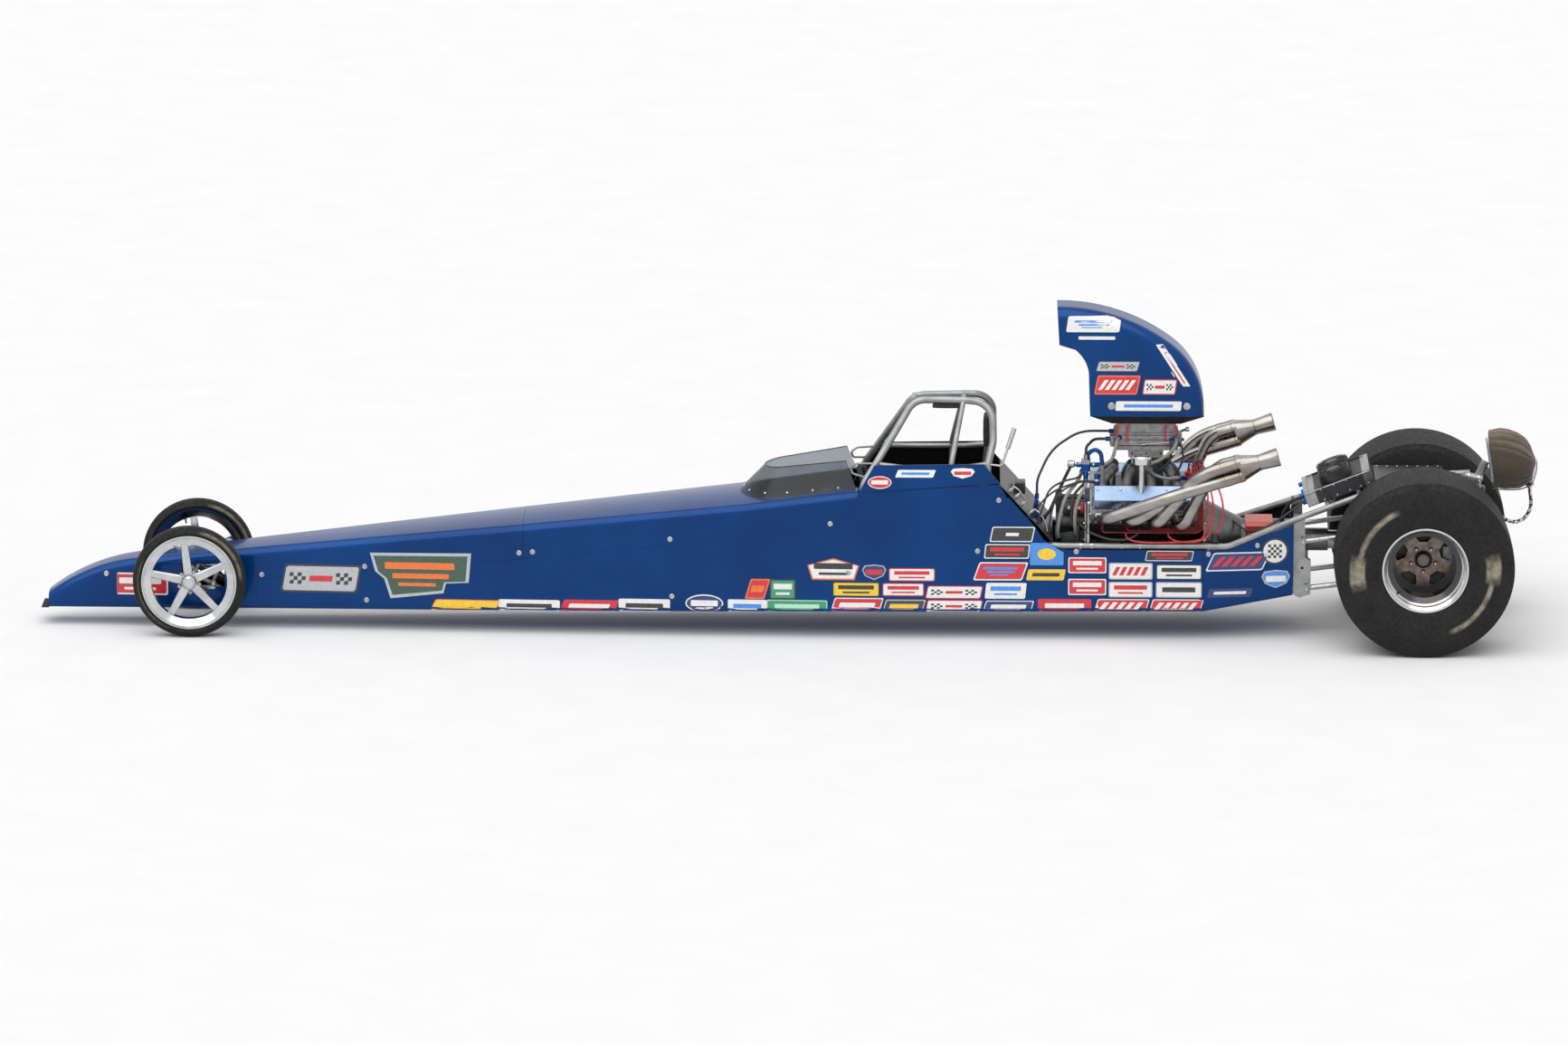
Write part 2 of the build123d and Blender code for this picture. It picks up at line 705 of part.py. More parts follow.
def tyre_face(diameter, width, bead_d, flange_d, bead_w, rim_half, tread_half, crown, wall):
    top = diameter / 2
    foot = bead_d / 2 + seat_gap
    clear = flange_d / 2 + seat_gap
    side_r = (top + clear) / 2 - 6
    half = width / 2
    shoulder = top - crown - (half - tread_half) * 0.9
    edge = (clear + 4, rim_half + 1)
    low_edge = (edge[0], -edge[1])
    outline = Polyline((foot, bead_w), (clear, bead_w), edge)
    outline += ThreePointArc(edge, (side_r, half), (shoulder, (half + tread_half) / 2 + 2))
    outline += Line((shoulder, (half + tread_half) / 2 + 2), (top - crown, tread_half))
    outline += ThreePointArc((top - crown, tread_half), (top, 0), (top - crown, -tread_half))
    outline += Line((top - crown, -tread_half), (shoulder, -(half + tread_half) / 2 - 2))
    outline += ThreePointArc((shoulder, -(half + tread_half) / 2 - 2), (side_r, -half), low_edge)
    outline += Polyline(low_edge, (clear, -bead_w), (foot, -bead_w), (foot, -bead_w + wall),
                        (clear + 6, -bead_w + wall),
                        (side_r, -half + wall), (top - crown - wall - 4, -tread_half + wall),
                        (top - crown - wall - 4, tread_half - wall), (side_r, half - wall), (clear + 6, bead_w - wall),
                        (foot, bead_w - wall), (foot, bead_w))
    return make_face(outline)


def front_tyre(side):
    face = tyre_face(front_tyre_d, front_tyre_w, front_bead_d, front_rim_d, front_rim_w / 2 - 7 - seat_gap,
                     front_rim_w / 2, 27, 5, 8)
    body = Pos(front_axle_x, front_track / 2, front_tyre_d / 2) * revolve(face, axis=Axis.Y)
    return solids_of(body if side > 0 else mirror(body, about=Plane.XZ))


# Rear running gear

def at_rear(shape):
    return Pos(rear_axle_x, rear_track / 2, rear_tyre_d / 2) * shape


def rear_wheels():
    w = rear_rim_w / 2
    flange = rear_rim_d / 2
    bead = rear_bead_d / 2
    inner = bead - rim_wall
    well = rear_star_d / 2 + 20
    star_out = w - rear_dish
    star_in = star_out - star_t
    barrel = turned([(-w, flange), (-w + 14, flange), (-w + 18, bead), (star_in - 6, bead),
                     (star_in + 4, well + rim_wall), (w - 80, well + rim_wall), (w - 64, bead), (w - 18, bead),
                     (w - 14, flange), (w, flange),
                     (w, flange - 7), (w - 16, inner), (w - 66, inner), (w - 82, well), (star_out, well),
                     (star_out, 10), (star_in, 10), (star_in, well), (star_in - 10, inner), (-w + 16, inner),
                     (-w, flange - 7)])
    cap = turned([(star_out - 1, 0), (star_out - 1, rear_cap_d / 2), (star_out + 24, rear_cap_d / 2 - 2),
                  (star_out + 28, rear_cap_d / 2 - 8), (star_out + 28, 0)])
    body = fused([barrel, cap])
    for n in range(spokes):
        turn = Rot(0, n * 360 / spokes, 0)
        window = Plane.XZ * make_face(Polyline((-20, 84), (20, 84), (48, 118), (30, 131), (-30, 131), (-48, 118),
                                               close=True))
        cut = extrude(window, -60, both=True)
        body -= turn * (Pos(0, star_out - 10, 0) * cut)
        hole = rod((0, star_in - 5, lug_circle_d / 2), (0, star_out + 5, lug_circle_d / 2), 22)
        body -= Rot(0, (n + 0.5) * 360 / spokes, 0) * hole
    return both_sides(at_rear(body))


def rear_tyres():
    face = tyre_face(rear_tyre_d, rear_tyre_w, rear_bead_d, rear_rim_d, rear_rim_w / 2 - 18 - seat_gap,
                     rear_rim_w / 2, 176, 3, tyre_wall)
    return both_sides(at_rear(revolve(face, axis=Axis.Y)))


def axle_shaft():
    x = rear_axle_x
    z = rear_tyre_d / 2
    mount_y = rear_track / 2 + rear_rim_w / 2 - rear_dish - star_t
    pieces = [rod((x, -mount_y, z), (x, mount_y, z), axle_shaft_d)]
    for s in (-1, 1):
        pieces.append(rod((x, s * (mount_y - 12), z), (x, s * mount_y, z), 150))
        pieces.append(rod((x, s * (disc_y + disc_t / 2 - 1), z), (x, s * (mount_y - 11), z), 130))
        pieces.append(rod((x, s * (disc_y - disc_t / 2), z), (x, s * (disc_y + disc_t / 2), z), disc_d))
    return solids_of(fused(pieces))


def axle_housing():
    x = rear_axle_x
    z = rear_tyre_d / 2
    pieces = [rod((x, -housing_end_y, z), (x, housing_end_y, z), housing_d),
              rod((x, -95, z), (x, 95, z), 280),
              rod((x - 255, 0, z), (x, 0, z), 120),
              rod((x - 262, 0, z), (x - 240, 0, z), 150)]
    for s in (-1, 1):
        pieces.append(rod((x, s * (housing_end_y - 10), z), (x, s * housing_end_y, z), 110))
        for y in (link_y - plate_gap / 2 - plate_t, link_y + plate_gap / 2):
            bracket = side_face([(x - 86, LINKS[0][3] - 26), (x - 20, LINKS[0][3] - 26), (x + 45, z - 20),
                                 (x + 45, z + 20), (x - 20, LINKS[1][3] + 26), (x - 86, LINKS[1][3] + 26)])
            plate = extrude(bracket, -plate_t)
            pieces.append((Pos(0, y, 0) * plate) if s > 0 else mirror(Pos(0, y, 0) * plate, about=Plane.XZ))
    body = fused(pieces)
    body -= rod((x, -housing_end_y - 1, z), (x, housing_end_y + 1, z), axle_shaft_d + 2 * run_clear)
    body -= rod((x, -housing_end_y + 25, z), (x, housing_end_y - 25, z), axle_shaft_d + 12)
    for s in (-1, 1):
        for x0, z0, x1, z1 in LINKS:
            body -= rod((x1, s * (link_y - 40), z1), (x1, s * (link_y + 40), z1), pin_d + 0.2)
    return solids_of(body)


def brake_calipers():
    x = rear_axle_x
    z = rear_tyre_d / 2
    inner = disc_y - disc_t / 2 - 5
    outer = disc_y + disc_t / 2 + 5
    reach = disc_d / 2 + 6
    body = fused([block(96, reach + 14, housing_end_y + seat_gap, inner, -55, 55),
                  block(96, reach + 14, outer, outer + 12, -55, 55),
                  block(reach, reach + 14, housing_end_y + seat_gap, outer + 12, -55, 55),
                  block(40, 100, housing_end_y + seat_gap, housing_end_y + 9, -30, 30)])
    body -= rod((0, 0, 0), (0, 600, 0), 90)
    return both_sides(Pos(x, 0, z) * body)


def link_plates(frames):
    pieces = []
    for y in (link_y - plate_gap / 2 - plate_t, link_y + plate_gap / 2):
        x = lower_end_x + seat_gap
        outline = side_face([(x, 605), (x + 53, 605), (x + 56, 400), (x + 84, 380), (x + 84, 216), (x + 30, 200),
                             (x, 215)])
        plate = Pos(0, y, 0) * extrude(outline, -plate_t)
        for hole_x, hole_z in PLATE_HOLES:
            plate -= rod((hole_x, y - 10, hole_z), (hole_x, y + 20, hole_z), pin_d + 0.2)
        pieces.append(plate)
    post = block(lower_end_x + 1, lower_end_x + 23, link_y - plate_gap / 2 - 1, link_y + plate_gap / 2 + 1, 225, 600)
    body = fused([pieces[0], post, pieces[1]])
    both = [body, mirror(body, about=Plane.XZ)]
    found = []
    for piece in both:
        for frame in frames:
            piece = piece - frame
        found += [s for s in piece.solids() if s.volume > 30000]
    return found


def link_bars():
    found = []
    for x0, z0, x1, z1 in LINKS:
        bar = rod((x0, link_y, z0), (x1, link_y, z1), link_bar_d)
        ends = []
        for x, z in ((x0, z0), (x1, z1)):
            ends.append(rod((x, link_y - plate_gap / 2 + 2, z), (x, link_y + plate_gap / 2 - 2, z), 36))
            reach = plate_gap / 2 + plate_t + 8
            ends.append(rod((x, link_y - reach, z), (x, link_y + reach, z), pin_d))
        found.append(fused([bar] + ends))
    return both_sides(*found)


# Engine

def bank(shape):
    # Lays a shape built straight up over the crank line onto the right bank, which leans out by 45 degrees.
    return Pos(0, 0, crank_z) * Rot(-45, 0, 0) * shape


def valley_points():
    # The engine's top between the banks, on the right side. Columns: y, z.
    s = math.sin(math.radians(45))
    floor = (0, crank_z + deck_h * s + valley_rise)
    return [floor, ((deck_h - bank_half_w) * s, (deck_h + bank_half_w) * s + crank_z)]


def engine_block():
    low = crank_z - 72
    s = math.sin(math.radians(45))
    outer = ((deck_h + bank_half_w) * s, (deck_h - bank_half_w) * s + crank_z)
    half = valley_points() + [outer, (128, crank_z + 20), (128, low)]
    points = half + [(-y, z) for y, z in reversed(half[1:])]
    body = cross_cut(points, front_plate_x + motor_plate_t, rear_plate_x)
    return solids_of(body)


def oil_pan():
    low = crank_z - 72
    points = [(-126, low), (126, low), (112, 172), (-112, 172)]
    body = cross_cut(points, front_plate_x + 30, rear_plate_x - 8)
    flange = block(front_plate_x + 10, rear_plate_x - 4, -128, 128, low - 10, low)
    return solids_of(body + flange)


def port_x(n):
    return head_front_x + port_first + n * port_step + 14


def cylinder_heads():
    head = block(head_front_x, head_front_x + head_l, -bank_half_w, bank_half_w, deck_h, deck_h + head_h)
    head = chamfer(head.edges().filter_by(Axis.X).sort_by(Axis.Z)[-2:], 12)
    ports = []
    for n in range(4):
        x = port_x(n)
        up = deck_h + port_up
        ports.append(block(x - 36, x + 36, bank_half_w - 1, bank_half_w + port_stub, up - 33, up + 31))
        ports.append(rod((x, bank_half_w - 1, deck_h + plug_up), (x, bank_half_w + 6, deck_h + plug_up), 26))
    return both_sides(bank(fused([head] + ports)))


def valve_covers():
    low = deck_h + head_h
    base = Plane.XY.offset(low) * Rectangle(head_l - 12, 2 * bank_half_w - 34)
    top = Plane.XY.offset(low + cover_h) * Rectangle(head_l - 36, 2 * cover_half_w)
    cover = loft([base, top], ruled=True)
    cover = fillet(cover.edges().group_by(Axis.Z)[-1], 6)
    return both_sides(bank(Pos(head_front_x + head_l / 2, 0, 0) * cover))


def intake_manifold():
    floor, edge = valley_points()
    shelf = floor[1] + 100
    lower = cross_cut([(0, floor[1] + seat_gap), (edge[0], edge[1] + seat_gap), (150, shelf), (-150, shelf),
                       (-edge[0], edge[1] + seat_gap)], head_front_x + 30, head_front_x + head_l - 40)
    gap = 0.5
    cover = bank(block(head_front_x - 20, head_front_x + head_l + 20, -bank_half_w - gap, bank_half_w + gap,
                       deck_h - gap, deck_h + head_h + cover_h + 5))
    lower = lower - cover - mirror(cover, about=Plane.XZ)
    foot = Pos(plenum_x + 8, 0, shelf - 1) * Rectangle(168, 150)
    top = Pos(plenum_x + 12, 0, plenum_top) * Rectangle(146, 150)
    return solids_of(lower + loft([foot, top], ruled=True))


def carburettor():
    spacer = block(plenum_x - 79, plenum_x + 88, -83, 83, plenum_top + seat_gap, spacer_top)
    body = block(plenum_x - 150, plenum_x + 160, -95, 95, spacer_top - 1, spacer_top + 84)
    body = fillet(body.edges().filter_by(Axis.Z), 22)
    neck = block(plenum_x - 130, plenum_x + 140, -85, 85, spacer_top + 83, tray_low)
    bowls = [block(plenum_x + x - 16, plenum_x + x + 16, -70, 70, spacer_top + 10, spacer_top + 62)
             for x in (-150, 160)]
    return solids_of(fused([spacer, body, neck] + bowls))


def scoop_tray():
    top = scoop_base_z - seat_gap
    low = Pos(plenum_x + 6, 0, tray_low) * Rectangle(330, 220)
    high = Rectangle(scoop_rear_x - scoop_front_x - 2 * tray_edge, 2 * (scoop_half_w - tray_edge))
    high = Pos((scoop_front_x + scoop_rear_x) / 2, 0, top) * high
    return solids_of(loft([low, high], ruled=True))


def scoop_outline():
    brow = (scoop_mouth_x, scoop_top_z)
    shoulder = (1850, 1417)
    heel = (scoop_rear_x - 2, 1140)
    waist = (scoop_front_x - 6, 1250)
    neck = (1385, 1398)
    chin = (scoop_mouth_x + 11, 1421)
    top = ThreePointArc(brow, (1606, 1547), shoulder)
    back = TangentArc(shoulder, heel, tangent=top % 1)
    outline = top + back
    outline += Polyline(heel, (scoop_rear_x, scoop_base_z), (scoop_front_x, scoop_base_z), waist)
    outline += ThreePointArc(waist, (1434, 1338), neck)
    outline += Polyline(neck, chin, brow)
    return make_face(outline)


def air_scoop():
    walls = [(-scoop_half_w, scoop_base_z - 1), (scoop_half_w, scoop_base_z - 1),
             (scoop_top_half_w, scoop_top_z + 1), (-scoop_top_half_w, scoop_top_z + 1)]
    body = extrude(Plane.XZ * scoop_outline(), scoop_half_w, both=True) & cross_cut(walls, 1200, 2100)
    crown = []
    for edge in body.edges():
        middle = edge.center()
        along_side = abs(middle.Y) > 60 and edge.bounding_box().size.X > 60
        if along_side and middle.Z > 1500 - 0.7 * (middle.X - 1600):
            crown.append(edge)
    body = fillet(crown, scoop_round)
    mouth = body.faces().sort_by(Axis.X)[0]
    base = body.faces().sort_by(Axis.Z)[0]
    return solids_of(offset(body, amount=-scoop_skin, openings=[mouth, base], kind=Kind.INTERSECTION))


def corner_radius(before, corner, after, share):
    first = Vector(corner) - Vector(before)
    second = Vector(after) - Vector(corner)
    half = math.radians(first.get_angle(second)) / 2
    return share * min(first.length, second.length) / math.tan(half)


def header(side):
    tubes = []
    start = Vector(*COLLECTOR[0])
    end = Vector(*COLLECTOR[1])
    aim = (end - start).normalized()
    across = Vector(0, 1, 0)
    over = aim.cross(across) * -1
    s = math.sin(math.radians(45))
    out = bank_half_w + port_stub
    up = deck_h + port_up
    for n in range(4):
        face = Vector(port_x(n), (up + out) * s, crank_z + (up - out) * s)
        drop = math.radians(PRIMARY_RUN[n][0])
        away = Vector(0, math.cos(drop), -math.sin(drop))
        dy, dz = BUNDLE[n]
        goal = start + across * (dy * primary_pitch / 2) + over * (dz * primary_pitch / 2)
        points = [face - away * 50, face + away * PRIMARY_RUN[n][1], goal - aim * PRIMARY_RUN[n][2], goal + aim * 10]
        radii = [corner_radius(*points[:3], 0.7), corner_radius(*points[1:], 0.45)]
        within = bank(block(port_x(n) - 45, port_x(n) + 45, -200, out + seat_gap, 0, up + 100))
        tubes.append(tube_along(points, radii, primary_d) - within)
        plate = block(port_x(n) - 40, port_x(n) + 40, out + seat_gap, out + seat_gap + flange_t, up - 38, up + 38)
        tubes.append(bank(fillet(plate.edges().filter_by(Axis.Y), 14)))
    mouth = primary_pitch + primary_d + 6
    cone = loft([Plane(origin=start, x_dir=across, z_dir=aim) * RectangleRounded(mouth, mouth, 54),
                 Plane(origin=start + aim * 95, x_dir=across, z_dir=aim) * Circle(38)], ruled=True)
    tail = loft([Plane(origin=start + aim * 94, z_dir=aim) * Circle(38), Plane(origin=end, z_dir=aim) * Circle(45)])
    bore = loft([Plane(origin=start + aim * 100, z_dir=aim) * Circle(35.5),
                 Plane(origin=end + aim, z_dir=aim) * Circle(43)])
    body = fused(tubes + [cone, tail]) - bore
    return solids_of(body if side > 0 else mirror(body, about=Plane.XZ))


def motor_plates():
    found = []
    for x in (front_plate_x, rear_plate_x):
        half = [(0, 262), (140, 262), (246, 330), (246, 560), (150, 560), (110, 640), (0, 640)]
        points = half + [(-y, z) for y, z in reversed(half[1:-1])]
        found.append(cross_cut(points, x, x + motor_plate_t))
    return found


def front_drive():
    pieces = []
    x = belt_x
    for y, z, r in PULLEYS:
        pieces.append(rod((x - 3, y, z), (x + 29, y, z), 2 * r))
        pieces.append(rod((x + 20, y, z), (front_plate_x, y, z), 34))
    lower, upper = PULLEYS[0], PULLEYS[1]
    belt = make_face(Polyline((-lower[2], lower[1]), (lower[2], lower[1]), (upper[0] + upper[2], upper[1]),
                              (upper[0] - upper[2], upper[1]), close=True))
    slab = extrude(Plane.YZ.offset(x) * belt, 26)
    hollow = extrude(Plane.YZ.offset(x - 1) * offset(belt, -4), 28)
    pieces.append(slab - hollow)
    pieces.append(block(1340, front_plate_x, 60, 150, 556, 620))
    pieces.append(rod((1330, -70, 600), (front_plate_x, -70, 600), 90))
    y, z = FUEL_PUMP
    pieces.append(rod((x, y, z), (x + 22, y, z), 84))
    pieces.append(rod((x + 21, y, z), (front_plate_x, y, z), 60))
    for s in (-1, 1):
        saddle = side_face([(1308, 430), (front_plate_x, 390), (front_plate_x, 520), (1308, 500)])
        pieces.append(Pos(0, s * 168, 0) * extrude(saddle, 3, both=True))
    return solids_of(fused(pieces))


# Ignition, breather and hoses

def distributor():
    floor, edge = valley_points()
    body = fused([upright(cap_x, 0, floor[1] - 5, cap_low_z - 11, 50),
                  upright(cap_x, 0, cap_low_z - 12, cap_low_z + 1, 84),
                  upright(cap_x, 0, cap_low_z, cap_top_z, cap_d)])
    body -= cross_cut([(-edge[0], 500), (edge[0], 500), (edge[0], edge[1] + seat_gap), (0, floor[1] + seat_gap),
                       (-edge[0], edge[1] + seat_gap)], cap_x - 60, cap_x + 30)
    towers = [upright(cap_x, 0, cap_top_z - 1, cap_top_z + 16, 16)]
    for side in (-1, 1):
        for lane, station, angle in LEADS:
            x, y = tower_at(angle, side)
            towers.append(upright(x, y, cap_top_z - 1, cap_top_z + 14, 14))
    return solids_of(fused([body] + towers))


def tower_at(angle, side):
    turn = math.radians(angle)
    return cap_x + tower_ring_r * math.cos(turn), side * tower_ring_r * math.sin(turn)


def bank_point(x, out, up):
    s = math.sin(math.radians(45))
    return (x, (up + out) * s, crank_z + (up - out) * s)


def plug_leads():
    leads = []
    up = deck_h + plug_up
    for n, (lane, station, angle) in enumerate(LEADS):
        x, y = tower_at(angle, 1)
        plug = bank_point(port_x(n), lane, up)
        boot = rod(bank_point(port_x(n), bank_half_w + 6 + seat_gap, up), bank_point(port_x(n), lane - 14, up), 14)
        points = [bank_point(port_x(n), lane - 15, up), plug, bank_point(station, lane, up),
                  (station, 150 + 12 * n, 790), (x, y, 832 - 4 * n), (x, y, cap_top_z + 14 + seat_gap)]
        radii = [13, 40, 60, 16]
        leads.append(fused([tube_along(points, radii, lead_d), boot]))
    return both_sides(*leads)


def breather():
    x, y = BREATHER
    up = deck_h + head_h + cover_h + seat_gap
    pipe = upright(x, y, 690, 869, 30)
    pipe -= bank(block(x - 50, x + 50, -100, 100, up - 120, up))
    pipe = pipe.solids().sort_by(Axis.Z)[-1]
    hood = upright(x, y, 868, 912, 92)
    hood = fillet(hood.edges().sort_by(Axis.Z)[-1], 16)
    hood = fillet(hood.edges().sort_by(Axis.Z)[0], 6)
    body = pipe + hood
    return solids_of(mirror(body, about=Plane.XZ))


def vent_rod(cage):
    body = fused([tube_along(VENT_ROD, [14], 12), rod((1062, -229, 930), VENT_ROD[-1], 22)])
    for piece in cage:
        body = body - piece
    return [s for s in body.solids() if s.volume > 10000]


def hose_ends(points, diameter):
    # The collars at both ends of a hose, and the route left for the hose between them.
    first = (Vector(*points[1]) - Vector(*points[0])).normalized()
    last = (Vector(*points[-2]) - Vector(*points[-1])).normalized()
    start = Vector(*points[0]) + first * fitting_l
    end = Vector(*points[-1]) + last * fitting_l
    collars = [rod(points[0], start, diameter + 8), rod(points[-1], end, diameter + 8)]
    route = [tuple(start + first * seat_gap)] + list(points[1:-1]) + [tuple(end + last * seat_gap)]
    return collars, route


def hoses():
    found = []
    for diameter, points in HOSES:
        route = hose_ends(points, diameter)[1]
        found.append(tube_along(route, bend_radii(route), diameter))
    return solids_of(*found)


def hose_fittings():
    x0, x1 = FILTER_BOX[0]
    y0, y1 = FILTER_BOX[1]
    z0, z1 = FILTER_BOX[2]
    box = block(x0, x1, y0, y1, z0, z1)
    box = fillet(box.edges().filter_by(Axis.Z), 8)
    stand = block(front_plate_x, front_plate_x + motor_plate_t, -109, -98, 640 + seat_gap, z0 + 1)
    lever = side_cut([(1182, wall_z(1182)), (1212, wall_z(1212)), (1212, 668), (1196, 668)], 7)
    found = [box + stand, Pos(0, -150, 0) * lever]
    for diameter, points in HOSES:
        found += hose_ends(points, diameter)[0]
    return solids_of(*found)


def wall_z(x):
    # Height of the sloping firewall's rear face.
    return 764 + (x - 1030) * (487 - 764) / (1283 - 1030) + seat_gap


def transmission():
    x = rear_plate_x + motor_plate_t
    bell = loft([Plane.YZ.offset(x) * Circle(196), Plane.YZ.offset(x + 180) * Circle(104)], ruled=True)
    bell = Pos(0, 0, crank_z) * bell
    case = rod((x + 179, 0, crank_z), (x + 480, 0, crank_z), 200)
    pan = block(x + 200, x + 460, -110, 110, crank_z - 132, crank_z - 60)
    tail = rod((x + 470, 0, crank_z), (x + 600, 0, crank_z), 110)
    return solids_of(fused([bell, case, pan, tail]))


def transmission_cover():
    x = rear_plate_x + motor_plate_t + 200
    low = crank_z + 40
    shell = block(x, x + 132, -100, 100, low, crank_z + 84)
    shell -= rod((x - 5, 0, crank_z), (x + 140, 0, crank_z), 200)
    shell = [s for s in shell.solids() if s.volume > 10000]
    top = crank_z + 104
    crown = cross_cut([(-100, crank_z + 84), (100, crank_z + 84), (80, top), (-80, top)], x, x + 132)
    crown -= rod((x - 5, 0, crank_z), (x + 140, 0, crank_z), 200)
    return solids_of(fused(shell + crown.solids()))


def driveshaft():
    x = rear_plate_x + motor_plate_t + 600
    return solids_of(rod((x, 0, crank_z), (rear_axle_x - 262, 0, crank_z), 90))


# Rear fittings

def on_cooler(shape):
    return Pos(cooler_front_x, 0, cooler_front_z) * Rot(0, -math.degrees(cooler_tilt), 0) * shape


def cooler():
    length = math.hypot(cooler_rear_x - cooler_front_x, cooler_rear_z - cooler_front_z)
    h = cooler_t / 2
    core = block(22, length - 22, -cooler_half_w + 4, cooler_half_w - 4, -h + 6, h - 6)
    tanks = [block(a, b, -cooler_half_w, cooler_half_w, -h, h) for a, b in ((0, 22), (length - 22, length))]
    sides = [block(0, length, s * cooler_half_w - 3, s * cooler_half_w + 3, -h, h) for s in (-1, 1)]
    return solids_of(on_cooler(fused([core] + tanks + sides)))


def cooler_fans():
    h = cooler_t / 2
    fans = []
    for s in (-1, 1):
        ring = upright(169, s * 84, h - 6, h + 40, 160) - upright(169, s * 84, h + 4, h + 41, 148)
        motor = upright(169, s * 84, h + 3, h + 44, 64)
        bars = [block(169 - 78, 169 + 78, s * 84 - 3, s * 84 + 3, h + 32, h + 38),
                block(169 - 3, 169 + 3, s * 84 - 78, s * 84 + 78, h + 32, h + 38)]
        fans.append(fused([ring, motor] + bars))
    return solids_of(*[on_cooler(f) for f in fans])


def axle_cover(frames):
    x0, x1 = 2830, 3165
    lid = block(x0, x1, -168, 168, 766, 770)
    flanges = [block(x0, x1, -156, -152, 715, 767), block(x0, x1, 152, 156, 715, 767)]
    body = fused([lid] + flanges)
    for frame in frames:
        body -= frame
    return [s for s in body.solids() if s.volume > 100000]


def chute_mount(frames):
    top = UPPER[-1][1]
    x = 3290
    tube = tube_along([(x, 0, top), (x + 40, 0, top + 12), (3366, 0, 828)], [40], 40)
    cradle = side_cut([(3368, 930), (3377.4, 930), (3397.4, 816), (3405.8, 745), (3392, 745), (3386, 816)], 70)
    ring_x, ring_y, ring_z = TOW_RING
    ring = upright(ring_x, ring_y, ring_z - 6, ring_z + 6, 62)
    ring += block(3204, ring_x, ring_y - 10, ring_y + 10, ring_z - 5, ring_z + 5)
    ring -= upright(ring_x, ring_y, ring_z - 9, ring_z + 9, tow_bore_d)
    ring -= rod(upper_point(3204, -1), upper_point(3204, 1), strut_d + 2 * seat_gap)
    canister = rod((3262, -52, 770), (3350, -52, 752), 40)
    clip = block(3282, 3298, -60, -44, 738, 765)
    eye = rod((3352, -9, 694), (3352, 9, 694), 34) - rod((3352, -12, 694), (3352, 12, 694), 12)
    eye_arm = tube_along([(x, 0, top), (x + 25, 0, top - 20), (3345, 0, 706)], [20], 14)
    cross = rod(upper_point(3290, -1), upper_point(3290, 1), strut_d)
    body = fused([tube, cradle, canister, clip, eye_arm, eye]) - cross
    for frame in frames:
        body -= frame
    return [s for s in body.solids() if s.volume > 20000] + solids_of(ring)


def chute_bag():
    outline = Polyline((3378, 975), (3376, 940), (3398, 815), (3411, 705), (3553, 708), (3600, 745),
                       (bag_rear_x, 800), (3594, 875), (3584, 910), (3545, 952), (3487, 978), (3400, 984), close=True)
    body = extrude(Plane.XZ * make_face(outline), 92, both=True)
    side_edges = [e for e in body.edges() if abs(abs(e.center().Y) - 92) < 1]
    return solids_of(fillet(side_edges, 22))


TETHER = [(3580, 0, 706), (3589, 4, 655), (3591, 8, 600), (3566, 8, 548), (3514, 4, 524), (3456, -4, 546),
          (3408, -8, 592), (3374, -4, 640), (3358, 0, 677)]
tether_d = 18


def bend_radii(points):
    radii = []
    for a, b, c in zip(points[:-2], points[1:-1], points[2:]):
        first = Vector(*b) - Vector(*a)
        second = Vector(*c) - Vector(*b)
        half = math.radians(first.get_angle(second)) / 2
        radii.append(0.45 * min(first.length, second.length) / math.tan(half))
    return radii


def chute_tether():
    radii = bend_radii(TETHER)
    print("tether radii", [round(r) for r in radii])
    return solids_of(tube_along(TETHER, radii, tether_d))


# Cockpit controls

def steering_point(back):
    tilt = math.radians(column_tilt)
    return (steering_x - back * math.cos(tilt), 0, steering_z - back * math.sin(tilt))


def steering_wheel():
    tilt = math.radians(column_tilt)
    plane = Plane(origin=steering_point(0), x_dir=(0, 1, 0), z_dir=(math.cos(tilt), 0, math.sin(tilt)))
    ring = Torus(steering_r, 13)
    arms = [Rot(0, 0, a) * block(0, steering_r, -16, 16, -4, 2) for a in (0, 180, 270)]
    hub = Pos(0, 0, -14) * Cylinder(34, 34)
    wheel = plane.location * fused([ring, hub] + arms)
    column = rod(steering_point(330), steering_point(10), column_d)
    return solids_of(fused([wheel, column]))


def dash():
    x = UPPER_CROSS[4]
    pieces = []
    half = [(0, 520), (200, 520), (212, 600), (190, 672), (0, 688)]
    points = half + [(-y, z) for y, z in reversed(half[1:-1])]
    at = steering_point(220)[0]
    pieces.append(cross_cut(points, at, at + 4))
    bush = rod(steering_point(245), steering_point(195), column_d + 24)
    box = rod(steering_point(330), steering_point(275), 76)
    pieces += [bush, box]
    for y in (-130, -75, 75, 130):
        pieces.append(rod((at - 30, y, 630), (at + 12, y, 630), 52))
    stay = [block(x - 6, at + 2, s * 150 - 10, s * 150 + 10, 518, 532) for s in (-1, 1)]
    bed = block(x - 6, at, -24, 24, 510, 524)
    body = fused(pieces + stay + [bed])
    body -= rod(steering_point(400), steering_point(0), column_d + 2 * run_clear)
    body -= rod(upper_point(x, -1), upper_point(x, 1), strut_d)
    return [s for s in body.solids() if s.volume > 100000]


